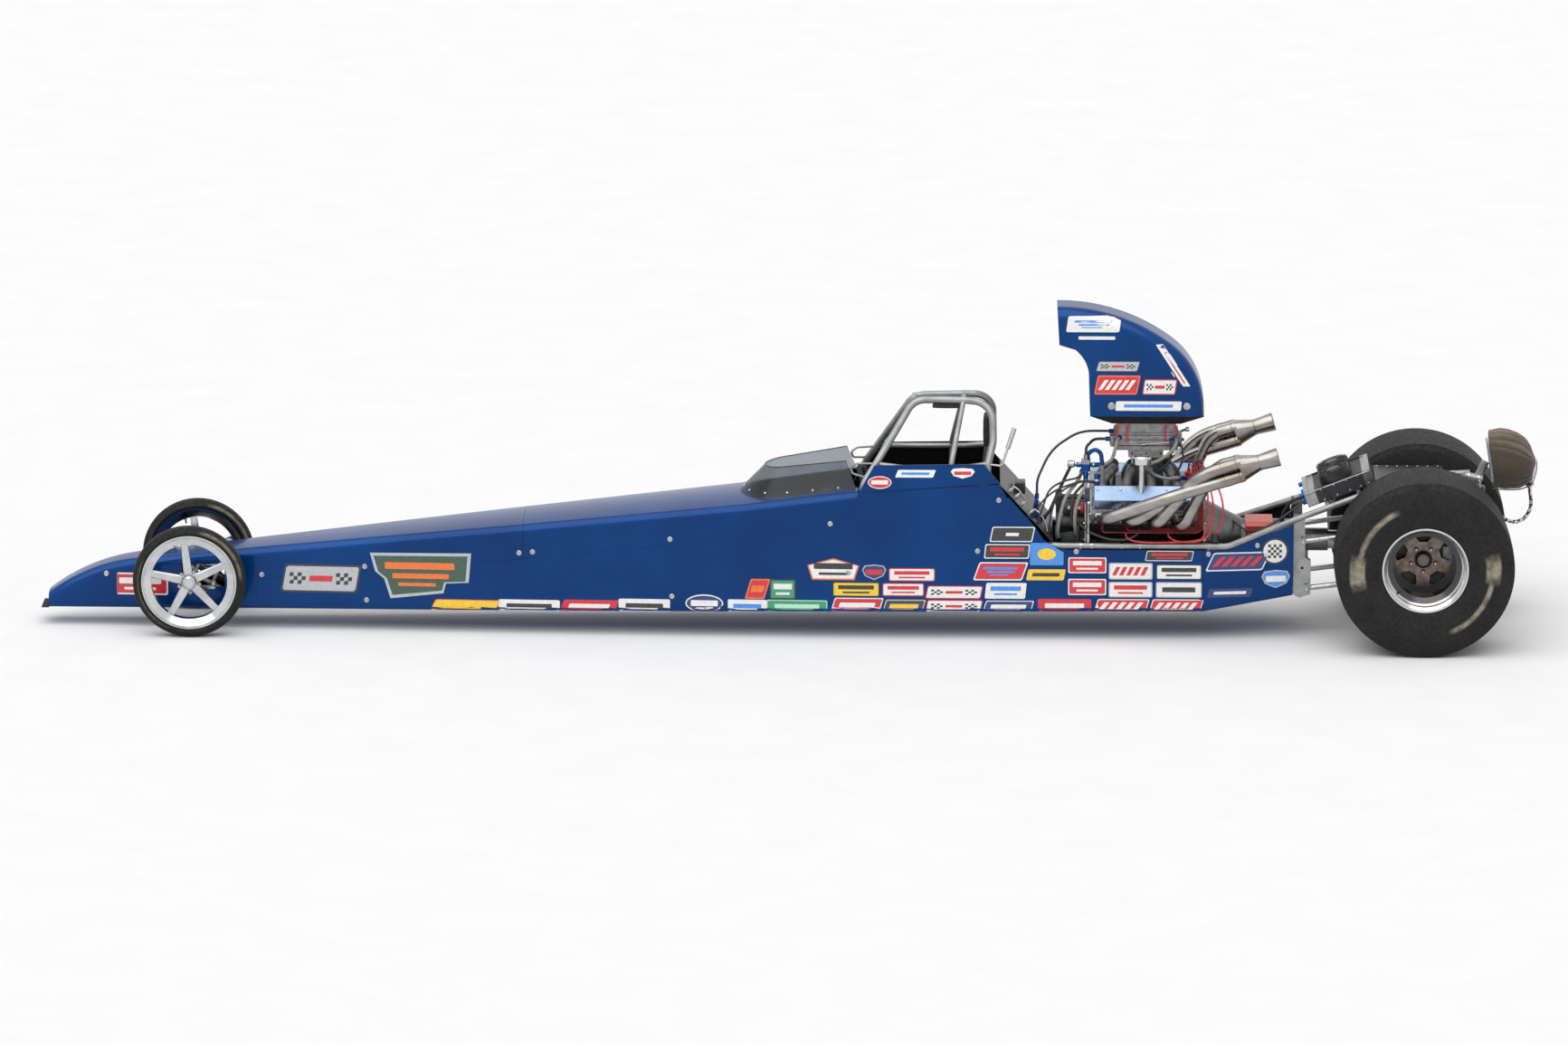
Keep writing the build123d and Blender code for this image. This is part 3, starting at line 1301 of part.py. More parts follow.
def make_all():
    frames = []
    for side in (-1, 1):
        frames.extend(side_frame(side))
    cage = roll_cage(frames)
    made = {
        "nose_cowl": nose_cowl(), "rear_cowl": rear_cowl(), "windscreen": windscreen(),
        "side_panels": side_panels(), "cockpit_panels": cockpit_panels(), "engine_panels": engine_panels(),
        "rear_panels": rear_panels(), "belly_pan": belly_pan(),
        "side_frames": frames, "cross_tubes": cross_tubes(frames), "roll_cage": cage,
        "head_pads": head_pads(), "screen_stays": screen_stays(cage), "firewall": firewall(), "seat": seat(),
        "front_axle": front_axle(frames), "tie_rod": tie_rod(),
        "rear_wheels": rear_wheels(), "rear_tyres": rear_tyres(), "axle_shaft": axle_shaft(),
        "axle_housing": axle_housing(), "brake_calipers": brake_calipers(),
        "link_plates": link_plates(frames), "link_bars": link_bars(),
        "engine_block": engine_block(), "oil_pan": oil_pan(), "cylinder_heads": cylinder_heads(),
        "valve_covers": valve_covers(), "intake_manifold": intake_manifold(), "carburettor": carburettor(),
        "scoop_tray": scoop_tray(), "air_scoop": air_scoop(), "motor_plates": motor_plates(),
        "front_drive": front_drive(), "transmission": transmission(),
        "transmission_cover": transmission_cover(), "driveshaft": driveshaft(),
        "distributor": distributor(), "plug_leads": plug_leads(), "breather": breather(),
        "hoses": hoses(), "hose_fittings": hose_fittings(), "vent_rod": vent_rod(cage),
        "cooler": cooler(), "cooler_fans": cooler_fans(), "axle_cover": axle_cover(frames),
        "chute_mount": chute_mount(frames), "chute_bag": chute_bag(), "chute_tether": chute_tether(),
        "steering_wheel": steering_wheel(), "dash": dash(),
    }
    for name, side in (("left", -1), ("right", 1)):
        made["knuckle_" + name] = knuckle(side)
        made["front_wheel_" + name] = front_wheel(side)
        made["front_tyre_" + name] = front_tyre(side)
        made["headers_" + name] = header(side)
    return made


os.makedirs("parts", exist_ok=True)
for name, found in make_all().items():
    export_step(Compound(found), f"parts/{name}.step")
    print(name, len(found))
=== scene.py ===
import math

import bmesh
import bpy
from mathutils import Matrix, Vector, noise
from mathutils.bvhtree import BVHTree


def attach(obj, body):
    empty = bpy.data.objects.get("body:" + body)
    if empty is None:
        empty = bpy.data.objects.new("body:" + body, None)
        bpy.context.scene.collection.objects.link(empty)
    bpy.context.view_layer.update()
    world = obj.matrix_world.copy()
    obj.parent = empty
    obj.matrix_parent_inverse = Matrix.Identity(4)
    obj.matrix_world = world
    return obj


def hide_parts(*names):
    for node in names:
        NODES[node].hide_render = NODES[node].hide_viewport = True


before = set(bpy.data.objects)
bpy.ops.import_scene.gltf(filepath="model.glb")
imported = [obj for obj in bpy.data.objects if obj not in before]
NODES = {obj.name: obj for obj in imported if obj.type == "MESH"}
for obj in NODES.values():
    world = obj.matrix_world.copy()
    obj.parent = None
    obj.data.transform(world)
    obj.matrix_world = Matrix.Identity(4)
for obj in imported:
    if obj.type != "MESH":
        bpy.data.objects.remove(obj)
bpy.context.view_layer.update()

SIDES = (-1, 1)
# Axles that run along Y: x, z.
REAR_AXLE, FRONT_AXLE = (3.057, 0.43), (-2.873, 0.2725)


def rows(text):
    # A table's rows: words stay words, numbers become numbers.
    def value(word):
        try:
            return float(word)
        except ValueError:
            return word

    return [[value(word) for word in line.split()] for line in text.strip().splitlines()]


def metres(numbers):
    return [n / 1000 for n in numbers]


def off(spot, x=0.0, y=0.0, z=0.0):
    return Vector(spot) + Vector((x, y, z))


def meshes(count):
    return [bmesh.new() for _ in range(count)]


def new_object(name, data):
    made = bpy.data.objects.new(name, data)
    bpy.context.scene.collection.objects.link(made)
    return made


# Camera: the photograph's angle, far off with a long lens. The ground point shows at the ground pixel.
FRAME_W, FRAME_H, PIXELS_PER_METRE = 1733, 1153, 228.09
DISTANCE, SENSOR = 48.0, 36.0
AZIMUTH, ELEVATION, ROLL = math.radians(1.04), math.radians(12.95), 0.0012
GROUND_PIXEL, GROUND_POINT = (865.2, 690.5), Vector((-0.020, 0.0, 0.0))


def make_camera():
    right = Vector((math.cos(AZIMUTH), math.sin(AZIMUTH), 0))
    ahead = Vector((-math.sin(AZIMUTH) * math.cos(ELEVATION), math.cos(AZIMUTH) * math.cos(ELEVATION),
                    -math.sin(ELEVATION)))
    up = right.cross(ahead)
    right, up = right * math.cos(ROLL) + up * math.sin(ROLL), up * math.cos(ROLL) - right * math.sin(ROLL)
    shift = Vector((FRAME_W / 2 - GROUND_PIXEL[0], GROUND_PIXEL[1] - FRAME_H / 2)) / PIXELS_PER_METRE
    data = bpy.data.cameras.new("camera")
    data.sensor_width = SENSOR
    data.lens = PIXELS_PER_METRE * DISTANCE * SENSOR / FRAME_W
    data.clip_start, data.clip_end = 1.0, 500.0
    camera = new_object("camera", data)
    spot = GROUND_POINT + right * shift.x + up * shift.y - ahead * DISTANCE
    camera.matrix_world = Matrix.Translation(spot) @ Matrix((right, up, -ahead)).transposed().to_4x4()
    bpy.context.scene.camera = camera


# Materials: procedural, in each object's own space, in metres

class Nodes:
    """Short names for building a node tree."""

    def __init__(self, tree):
        self.tree = tree

    def add(self, kind, inputs=(), **props):
        node = self.tree.nodes.new("ShaderNode" + kind)
        for key, value in props.items():
            setattr(node, key, value)
        for key, value in dict(inputs).items():
            if isinstance(value, bpy.types.NodeSocket):
                self.tree.links.new(value, node.inputs[key])
            else:
                node.inputs[key].default_value = value
        return node.outputs

    def calc(self, operation, *values):
        return self.add("Math", dict(enumerate(values)), operation=operation)[0]

    def times(self, product, *factors):
        for factor in factors:
            product = self.calc("MULTIPLY", product, factor)
        return product

    def mix(self, factor, *colours):
        first, second = [c if isinstance(c, bpy.types.NodeSocket) else (*c, 1) for c in colours]
        return self.add("Mix", {0: factor, 6: first, 7: second}, data_type="RGBA")[2]

    def ramp(self, value, low, high, to_low=0.0, to_high=1.0):
        return self.add("MapRange", {"Value": value, "From Min": low, "From Max": high, "To Min": to_low,
                                     "To Max": to_high})[0]

    def here(self):
        return self.add("TexCoord")["Object"]

    def xyz(self, vector=None):
        return self.add("SeparateXYZ", {0: vector or self.here()})

    def from_axle(self, centre):
        # The distances from an axle along Y: along X, along Z and straight.
        x, y, z = self.xyz()
        dx, dz = self.calc("SUBTRACT", x, centre[0]), self.calc("SUBTRACT", z, centre[1])
        return dx, dz, self.calc("SQRT", self.calc("MULTIPLY_ADD", dx, dx, self.times(dz, dz)))

    def grain(self, scale, stretch=(1, 1, 1), low=0.35, high=0.65, detail=4.0):
        where = self.add("Mapping", {"Vector": self.here(), "Scale": stretch})[0]
        return self.ramp(self.add("TexNoise", {"Vector": where, "Scale": scale, "Detail": detail})["Fac"], low, high)

    def waves(self, scale, direction, **inputs):
        inputs = {"Vector": self.here(), "Scale": scale, **inputs}
        return self.add("TexWave", inputs, bands_direction=direction)["Fac"]


MATERIALS = {}


class Look(Nodes):
    """A material: one shader with plain values, and what is linked to it afterwards."""

    def __init__(self, name, colour, rough, metal=0.0, **extra):
        MATERIALS[name] = mat = bpy.data.materials.new(name)
        mat.use_nodes = True
        super().__init__(mat.node_tree)
        self.inputs = self.tree.nodes["Principled BSDF"].inputs
        for socket, value in {"Base Color": (*colour, 1), "Roughness": rough, "Metallic": metal, **extra}.items():
            self.inputs[socket].default_value = value

    def link(self, colour, rough=None):
        self.tree.links.new(colour, self.inputs["Base Color"])
        if rough:
            self.tree.links.new(rough, self.inputs["Roughness"])

    def dent(self, height, strength, depth):
        bump = self.add("Bump", {"Height": height, "Strength": strength, "Distance": depth})[0]
        self.tree.links.new(bump, self.inputs["Normal"])


def finish(name, colour, other, rough, metal=0.0, scale=30.0, strength=0.15, depth=0.001, spread=0.1,
           stretch=(1, 1, 1), **extra):
    # Paint, metal or rubber in two near tones, with a fine grain.
    look = Look(name, colour, rough, metal, **extra)
    fine = look.grain(scale * 9, stretch)
    look.link(look.mix(look.grain(scale, stretch), colour, other),
              look.ramp(fine, 0, 1, rough - spread / 2, rough + spread / 2))
    look.dent(fine, strength, depth)


BLUE, BLUE_SHEEN, INSIDE = (0.0003, 0.034, 0.155), (0.0005, 0.046, 0.2), (0.012, 0.012, 0.014)
COAT = 0.22
# The middle of the body, seen from the front: its height at x = 0, and its rise per metre to the rear.
MID_Z, MID_RISE = 0.446, 0.08


def body_paint(name, shell=True):
    # Metallic blue. A shell's inner faces, which look at the middle of the body, are dark and dull.
    look = Look(name, BLUE, 0.3, 0.4, **{"Coat Weight": COAT, "Coat Roughness": 0.05, "Specular IOR Level": 0.1})
    flake = look.grain(900, low=0.3, high=0.7, detail=2.0)
    colour = look.mix(look.grain(2.5), BLUE, BLUE_SHEEN)
    rough = look.ramp(flake, 0, 1, 0.24, 0.36)
    if shell:
        x, y, z = look.xyz()
        nx, ny, nz = look.xyz(look.add("NewGeometry")["True Normal"])
        over = look.calc("SUBTRACT", z, look.calc("MULTIPLY_ADD", x, MID_RISE, MID_Z))
        outside = look.calc("GREATER_THAN", look.calc("MULTIPLY_ADD", ny, y, look.times(nz, over)), -0.004)
        colour = look.mix(outside, INSIDE, colour)
        rough = look.ramp(outside, 0, 1, 0.6, 0.3)
        look.tree.links.new(look.times(outside, COAT), look.inputs["Coat Weight"])
    look.link(colour, rough)
    look.dent(look.calc("ADD", look.grain(6), flake), 0.05, 0.0004)


def tyre_rubber(name, axle, bands):
    # Bands are worn arcs on the side wall. Columns: inner and outer radius, then the middle angle and the
    # half width in degrees.
    look = Look(name, (0.02, 0.02, 0.02), 0.75, **{"Specular IOR Level": 0.3})
    dx, dz, radius = look.from_axle(axle)
    angle = look.calc("DEGREES", look.calc("ARCTAN2", dz, dx))
    rings = look.add("TexWave", {"Vector": look.add("CombineXYZ", {0: radius})[0], "Scale": 22.0,
                                 "Distortion": 0.0})["Fac"]
    colour = look.mix(look.times(look.grain(9), 0.5), (0.007, 0.007, 0.0075), (0.019, 0.0175, 0.016))
    for inner, outer, middle, half in bands:
        off = look.calc("ABSOLUTE", look.calc("WRAP", look.calc("SUBTRACT", angle, middle), 180.0, -180.0))
        ring = look.times(look.ramp(radius, inner, inner + 0.012), look.ramp(radius, outer, outer - 0.012))
        patchy = look.ramp(look.grain(26, low=0.3, high=0.6), 0, 1, 0.25, 0.85)
        colour = look.mix(look.times(look.ramp(off, half, half - 9), ring, patchy), colour, (0.36, 0.32, 0.24))
    look.link(colour, look.ramp(look.grain(60), 0, 1, 0.62, 0.85))
    look.dent(look.calc("MULTIPLY_ADD", look.grain(420), 0.4, look.times(rings, 0.6)), 0.35, 0.0012)


def exhaust_steel():
    # Warm tints where the heat is: at the ports and in the last bend before the collector.
    look = Look("exhaust", (0.55, 0.53, 0.5), 0.24, 1.0)
    x, y, z = look.xyz()
    streak = look.grain(9, (1, 1, 3), detail=2.0)
    heat = look.times(look.ramp(x, 2.0, 2.2), look.ramp(x, 2.34, 2.22, 0.25, 1))
    warm = look.times(look.calc("MAXIMUM", heat, look.ramp(z, 0.62, 0.56, 0, 0.7)), look.grain(5, detail=2.0), 0.8)
    colour = look.mix(streak, (0.26, 0.25, 0.235), (0.38, 0.37, 0.35))
    look.link(look.mix(warm, colour, (0.2, 0.12, 0.065)), look.ramp(streak, 0, 1, 0.2, 0.28))
    look.dent(look.grain(70), 0.03, 0.0003)


def woven(name, colour, other, scale, shade_heights=None):
    # Cloth with its threads. The last argument gives the heights between which a painted shade darkens it downwards.
    look = Look(name, colour, 0.9, **{"Sheen Weight": 0.3})
    lines = [look.waves(scale, d, **{"Distortion": 1.0, "Detail Scale": 2.0}) for d in ("X", "Z", "Y")]
    cloth = look.times(look.calc("ADD", lines[0], lines[2]), lines[1])
    tone = look.mix(look.grain(9), colour, other)
    tone = look.mix(look.times(cloth, 0.35), tone, [c * 0.55 for c in colour])
    # Painted shade: the cloth darkens towards its foot, below the given heights.
    if shade_heights:
        tone = look.mix(look.ramp(look.xyz()[2], shade_heights[1], shade_heights[0], 0, 0.95), tone, [c * 0.16 for c in colour])
    look.link(tone)
    look.dent(look.calc("MULTIPLY_ADD", look.grain(30), 2.0, cloth), 0.5, 0.0015)


def braided(name, light, dark, scale):
    look = Look(name, light, 0.55, 0.2)
    cells = look.add("TexVoronoi", {"Vector": look.here(), "Scale": scale})
    look.link(look.mix(look.ramp(look.xyz(cells["Color"])[0], 0.44, 0.52), light, dark))
    look.dent(cells["Distance"], 0.6, 0.001)


def smoked_glass():
    look = Look("screen", (0.36, 0.4, 0.44), 0.3, **{"Transmission Weight": 0.96, "IOR": 1.02, "Coat Weight": 0.3})
    look.link(look.mix(look.grain(5), (0.34, 0.38, 0.42), (0.42, 0.45, 0.48)))


CAP_FOOT_Z = 0.7315


def distributor_cap():
    # A red cap on a dark body.
    look = Look("distributor_red", (0.6, 0.03, 0.03), 0.35)
    red = look.mix(look.grain(40), (0.55, 0.025, 0.02), (0.72, 0.06, 0.05))
    look.link(look.mix(look.calc("GREATER_THAN", look.xyz()[2], CAP_FOOT_Z), (0.05, 0.05, 0.055), red))
    look.dent(look.grain(200), 0.1, 0.0006)


def car_wheel():
    # Polished lips, a barrel painted dark for its shade and the ground it reflects, and a bronze star with a grey
    # cap.
    look = Look("car_wheel", (0.8, 0.8, 0.81), 0.15, 1.0)
    radius = look.from_axle(REAR_AXLE)[2]
    wide = look.calc("ABSOLUTE", look.xyz()[1])
    # Painted shade: this mask gives the polished barrel a dark grey, for the shade and reflected ground inside the
    # rim.
    barrel_shade = look.times(look.ramp(radius, 0.182, 0.176), look.ramp(wide, 0.598, 0.56))
    cap = look.times(look.ramp(radius, 0.0385, 0.037), look.ramp(wide, 0.373, 0.376))
    bronze = look.mix(look.grain(30), (0.09, 0.07, 0.055), (0.19, 0.15, 0.12))
    colour = look.mix(barrel_shade, (0.6, 0.6, 0.61), (0.07, 0.07, 0.072))
    colour = look.mix(look.ramp(radius, 0.135, 0.13), colour, bronze)
    look.link(look.mix(cap, colour, (0.12, 0.115, 0.115)), look.ramp(look.grain(40), 0, 1, 0.12, 0.24))
    look.dent(look.grain(90), 0.03, 0.0003)


def hose_ends():
    # Blue fittings, and the grey filter box among them.
    look = Look("fittings", (0.01, 0.1, 0.5), 0.25, 0.9)
    x, y, z = look.xyz()
    box = look.times(look.ramp(z, 0.834, 0.836), look.ramp(z, 0.894, 0.892), look.ramp(x, 1.46, 1.458),
                     look.ramp(x, 1.4, 1.402))
    blue = look.mix(look.grain(30), (0.008, 0.05, 0.2), (0.015, 0.085, 0.3))
    look.link(look.mix(box, blue, (0.3, 0.3, 0.31)), look.ramp(look.grain(90), 0, 1, 0.2, 0.34))


def cooler_fins():
    # Bright end tanks and a dark finned core between them, along the tilted cooler.
    look = Look("cooler_fins", (0.5, 0.51, 0.52), 0.35, 0.9)
    x, y, z = look.xyz()
    lines = look.waves(110.0, "Y")
    length = look.calc("MULTIPLY_ADD", look.calc("SUBTRACT", z, 0.67), 0.3612,
                       look.times(look.calc("SUBTRACT", x, 2.5), 0.9325))
    core = look.times(look.ramp(length, 0.052, 0.056), look.ramp(length, 0.3, 0.296))
    tank = look.mix(look.grain(25), (0.26, 0.265, 0.27), (0.38, 0.385, 0.39))
    dark = look.mix(lines, (0.02, 0.02, 0.022), (0.06, 0.06, 0.065))
    look.link(look.mix(core, tank, dark), look.ramp(core, 0, 1, 0.3, 0.5))
    look.dent(lines, 0.2, 0.001)


# Columns: name, two colours, roughness, metal, scale of the grain, strength and depth of its bump, spread.
# The plug leads' dark red finish is a darker copy of the red leads' colour, painted shade.
FINISHES = """
frame_grey     0.25 0.255 0.26    0.34 0.345 0.35    0.36 0.55 18  0.12 0.0006
black          0.01 0.01 0.011    0.022 0.022 0.024  0.4  0    22  0.2  0.0008
alloy          0.5 0.505 0.51     0.64 0.645 0.65    0.13 1    14  0.03 0.0003 0.08
cast           0.24 0.24 0.245    0.36 0.36 0.36     0.48 0.85 35  0.5  0.0012
dark_cast      0.1 0.1 0.105      0.2 0.2 0.2        0.5  0.5  30  0.5  0.0015
pad            0.012 0.012 0.013  0.025 0.025 0.026  0.85 0    50  0.5  0.001
coral          0.42 0.045 0.028   0.5 0.07 0.04      0.35 0.1  12  0.1  0.0006
hose           0.02 0.02 0.022    0.05 0.05 0.052    0.5  0.1  120 0.4  0.0008
red_lead       0.62 0.025 0.025   0.75 0.06 0.05     0.4  0    60  0.1  0.0004
lead_bundle    0.17 0.008 0.01    0.28 0.012 0.014   0.42 0    60  0.1  0.0004
blue_anodised  0.008 0.05 0.2     0.015 0.085 0.3    0.28 0.9  30  0.06 0.0004
plate          0.24 0.245 0.25    0.36 0.365 0.37    0.38 0.9  16  0.15 0.0006
bell           0.09 0.09 0.095    0.15 0.15 0.155    0.3  0.8  9   0.12 0.0008
block          0.035 0.035 0.037  0.085 0.083 0.08   0.48 0.5  26  0.4  0.0012
valve_cover    0.17 0.24 0.35     0.25 0.32 0.43     0.3  0.9  8   0.05 0.0006
"""
# The patches' colours.
VINYLS = """
white  0.78 0.78 0.76
black  0.02 0.02 0.02
red    0.6 0.015 0.025
yellow 0.85 0.55 0.02
green  0.03 0.3 0.14
orange 0.8 0.16 0.02
sky    0.05 0.25 0.7
navy   0.01 0.03 0.16
grey   0.45 0.47 0.5
moss   0.03 0.08 0.05
mint   0.45 0.75 0.55
"""
# The CAD nodes that wear each material.
# The axle shaft wears the dark block colour as painted shade, seen through the rear wheels' windows.
DRESSED = """
paint  nose_cowl rear_cowl side_panels cockpit_panels engine_panels rear_panels belly_pan
paint_solid  air_scoop
screen  windscreen
frame_grey  side_frames cross_tubes roll_cage screen_stays front_axle chute_mount
plate  link_plates motor_plates
pad  head_pads steering_wheel
black  firewall axle_housing intake_manifold scoop_tray cooler_fans axle_cover dash
alloy  seat breather front_wheel_left front_wheel_right
steel  tie_rod link_bars oil_pan driveshaft vent_rod knuckle_left knuckle_right
car_wheel  rear_wheels
rear_tyre  rear_tyres
block  axle_shaft engine_block front_drive
cast  brake_calipers cylinder_heads carburettor
valve_cover  valve_covers
bell  transmission
coral  transmission_cover
cooler_fins  cooler
distributor_red  distributor
lead_bundle  plug_leads
hose  hoses
fittings  hose_fittings
front_tyre  front_tyre_left front_tyre_right
exhaust  headers_left headers_right
"""


def make_materials():
    for name, *numbers in rows(FINISHES):
        finish(name, numbers[:3], numbers[3:6], *numbers[6:])
    for name, *colour in rows(VINYLS):
        finish("vinyl_" + name, colour, [min(1, c * 1.12 + 0.01) for c in colour], 0.32, 0.0, 60.0, 0.05, 0.0002,
               **{"Coat Weight": 0.5, "Coat Roughness": 0.1})
    finish("steel", (0.36, 0.36, 0.37), (0.5, 0.5, 0.51), 0.28, 1.0, 50.0, 0.08, 0.0005, stretch=(1, 6, 1))
    body_paint("paint")
    body_paint("paint_solid", shell=False)
    # The canvas gets painted shade, darker towards its foot.
    woven("canvas", (0.27, 0.2, 0.135), (0.17, 0.125, 0.083), 260.0, shade_heights=(0.8, 1.07))
    woven("webbing", (0.03, 0.03, 0.032), (0.06, 0.06, 0.062), 420.0)
    woven("seat_cloth", (0.022, 0.022, 0.024), (0.04, 0.04, 0.042), 380.0)
    woven("belt", (0.03, 0.03, 0.033), (0.055, 0.055, 0.06), 520.0)
    woven("belt_edge", (0.16, 0.16, 0.17), (0.24, 0.24, 0.25), 700.0)
    braided("tether", (0.7, 0.7, 0.7), (0.012, 0.012, 0.014), 130.0)
    braided("steel_braid", (0.4, 0.385, 0.35), (0.2, 0.19, 0.175), 800.0)
    tyre_rubber("front_tyre", FRONT_AXLE, [(0.243, 0.262, 40, 40), (0.238, 0.25, 200, 50)])
    tyre_rubber("rear_tyre", REAR_AXLE, [(0.285, 0.368, 182, 16), (0.3, 0.335, 143, 30), (0.285, 0.366, 2, 14),
                                         (0.305, 0.338, -38, 32)])
    for make in (exhaust_steel, smoked_glass, distributor_cap, car_wheel, hose_ends, cooler_fins):
        make()
    for material, *nodes in rows(DRESSED):
        for node in nodes:
            mesh = NODES[node].data
            mesh.materials.clear()
            mesh.materials.append(MATERIALS[material])


# Making meshes

def spokes(axis, count, side=None):
    # Unit vectors all round an axis.
    side = side or axis.orthogonal().normalized()
    other = axis.cross(side)
    turns = [2 * math.pi * n / count for n in range(count)]
    return [side * math.cos(t) + other * math.sin(t) for t in turns]


def loft(bm, rings, capped=True):
    # Joins rings of corners by faces. A ring of one corner makes a point.
    for low, high in zip(rings, rings[1:]):
        count = max(len(low), len(high))
        for n in range(count):
            m = (n + 1) % count
            quad = [low[n % len(low)], low[m % len(low)], high[m % len(high)], high[n % len(high)]]
            quad = list(dict.fromkeys(quad))
            if len(quad) > 2:
                bm.faces.new(quad)
    if capped:
        bm.faces.new(rings[0][::-1])
        bm.faces.new(rings[-1])


def spin(bm, at, axis, profile, segments=20):
    # Turns a profile of (distance along the axis, radius) about the axis.
    axis = Vector(axis).normalized()
    outs = spokes(axis, segments)
    loft(bm, [[bm.verts.new(Vector(at) + axis * along + out * radius) for out in (outs if radius else outs[:1])]
              for along, radius in profile], False)


def disc(bm, at, axis, radius, height, segments=20, low=0.0):
    spin(bm, at, axis, [(low, radius), (height, radius), (height, 0)], segments)


def rod(bm, start, end, radius, segments=16, edge=0.15):
    start, end = Vector(start), Vector(end)
    length, soft = (end - start).length, radius * edge
    spin(bm, start, end - start, [(0, 0), (0, radius - soft), (soft, radius), (length - soft, radius),
                                  (length, radius - soft), (length, 0)], segments)


def bolt(bm, at, normal, radius=0.008, height=0.006):
    spin(bm, at, normal, [(-0.001, 0), (-0.001, radius * 1.5), (0.0012, radius * 1.5), (0.0016, radius * 1.35)], 16)
    spin(bm, at, normal, [(0, radius), (height * 0.85, radius), (height, radius * 0.85), (height, 0)], 6)


def rivet(bm, at, normal, radius=0.005):
    spin(bm, at, normal, [(-0.001, radius), (0.0004, radius), (radius * 0.35, radius * 0.75), (radius * 0.5, 0)], 10)


def torus(bm, at, axis, radius, thick, segments=32, sides=8):
    axis = Vector(axis).normalized()
    angles = [2 * math.pi * k / sides for k in range(sides)]
    rings = [[bm.verts.new(Vector(at) + out * (radius + thick * math.cos(a)) + axis * thick * math.sin(a))
              for a in angles] for out in spokes(axis, segments)]
    loft(bm, rings + rings[:1], False)


def clamp(bm, at, axis, radius, width=0.012):
    # A band clamp with its screw.
    at, axis = Vector(at), Vector(axis).normalized()
    spin(bm, at - axis * width / 2, axis,
         [(0, radius - 0.001), (0, radius + 0.0014), (width, radius + 0.0014), (width, radius - 0.001)], 28)
    out = Vector((0, -1, 0)) if abs(axis.y) < 0.8 else Vector((0, 0, 1))
    out = (out - axis * out.dot(axis)).normalized()
    across = axis.cross(out) * 0.009
    rod(bm, at + out * (radius + 0.003) - across, at + out * (radius + 0.003) + across, 0.0042, 10)


def soften(bm, corners, offset, **how):
    if offset:
        edges = {e for v in corners for e in v.link_edges}
        bmesh.ops.bevel(bm, geom=list(edges), offset=offset, segments=2, affect="EDGES", **how)


def slab(bm, low, high, soft=0.0):
    made = bmesh.ops.create_cube(bm, size=1.0)["verts"]
    for v in made:
        v.co = [low[i] + (v.co[i] + 0.5) * (high[i] - low[i]) for i in range(3)]
    soften(bm, made, soft, profile=0.6)


def prism(bm, outline, low, high, soft=0.0):
    # An upright block with the outline's plan.
    rings = [[bm.verts.new((x, y, z)) for x, y in outline] for z in (low, high)]
    loft(bm, rings)
    soften(bm, rings[0] + rings[1], soft)


def rounded(points, steps=6):
    # A smooth run through the points.
    ends = [Vector(p) for p in points]
    ends = [ends[0] * 2 - ends[1]] + ends + [ends[-1] * 2 - ends[-2]]
    found = []
    for a, b, c, d in zip(ends, ends[1:], ends[2:], ends[3:]):
        for t in [n / steps for n in range(steps)]:
            found.append(0.5 * (2 * b + (c - a) * t + (2 * a - 5 * b + 4 * c - d) * t * t
                                + (3 * b - 3 * c + d - a) * t ** 3))
    return found + [ends[-2]]


def directions(path):
    # The direction of a path at each of its points.
    last = len(path) - 1
    return [(path[min(n + 1, last)] - path[max(n - 1, 0)]).normalized() for n in range(last + 1)]


def swept(bm, path, radius, segments=10):
    side, rings = None, []
    for spot, ahead in zip(path, directions(path)):
        side = (side - ahead * side.dot(ahead) if side else ahead.orthogonal()).normalized()
        rings.append([bm.verts.new(spot + out * radius) for out in spokes(ahead, segments, side)])
    loft(bm, rings)


def run(bm, points, radius, segments=10, steps=7):
    swept(bm, rounded(points, steps), radius, segments)


def strap(bm, points, width, thick=0.0016, steps=6, across=(0, 1, 0)):
    # Flat webbing along a run, as wide as width in the direction across.
    across, path, rings = Vector(across).normalized(), rounded(points, steps), []
    shape = [(-0.5, -1), (-0.25, -1.1), (0.25, -1.1), (0.5, -1), (0.5, 1), (0.25, 1.1), (-0.25, 1.1), (-0.5, 1)]
    for spot, ahead in zip(path, directions(path)):
        wide = (across - ahead * across.dot(ahead)).normalized()
        up = ahead.cross(wide)
        rings.append([bm.verts.new(spot + wide * (a * width) + up * (b * thick / 2)) for a, b in shape])
    loft(bm, rings)


def cushion(bm, centre, axes, halves, crown=0.22, cells=(30, 18, 6), channels=(), groove=0.006, ripple=0.0012):
    # A crowned pad: its faces stand out in the middle and its sides pull in between the corners.
    axes = [Vector(a).normalized() for a in axes]
    known = {}

    def corner(*key):
        if key not in known:
            u, v, w = [2 * i / n - 1 for i, n in zip(key, cells)]
            flat = [u * (1 - crown * 0.35 * (v ** 4 + w * w) / 2), v * (1 - crown * 0.35 * (u ** 4 + w * w) / 2),
                    w * (1 - crown * (u ** 4 + v ** 4) / 1.2)]
            place = Vector(centre)
            for axis, share, half in zip(axes, flat, halves):
                place += axis * share * half
            dip = sum(groove * math.exp(-((u - line) / 0.035) ** 2) for line in channels) * abs(w)
            place -= axes[2] * math.copysign(dip, w)
            place += axes[2] * noise.noise(place * 34) * ripple
            known[key] = bm.verts.new(place)
        return known[key]

    for fixed, first, second in ((0, 1, 2), (1, 0, 2), (2, 0, 1)):
        for level in (0, cells[fixed]):
            for i in range(cells[first]):
                for j in range(cells[second]):
                    quad = []
                    for di, dj in ((0, 0), (1, 0), (1, 1), (0, 1)):
                        key = [0, 0, 0]
                        key[fixed], key[first], key[second] = level, i + di, j + dj
                        quad.append(corner(*key))
                    bm.faces.new(quad)


SHARP_ANGLE = math.radians(38)


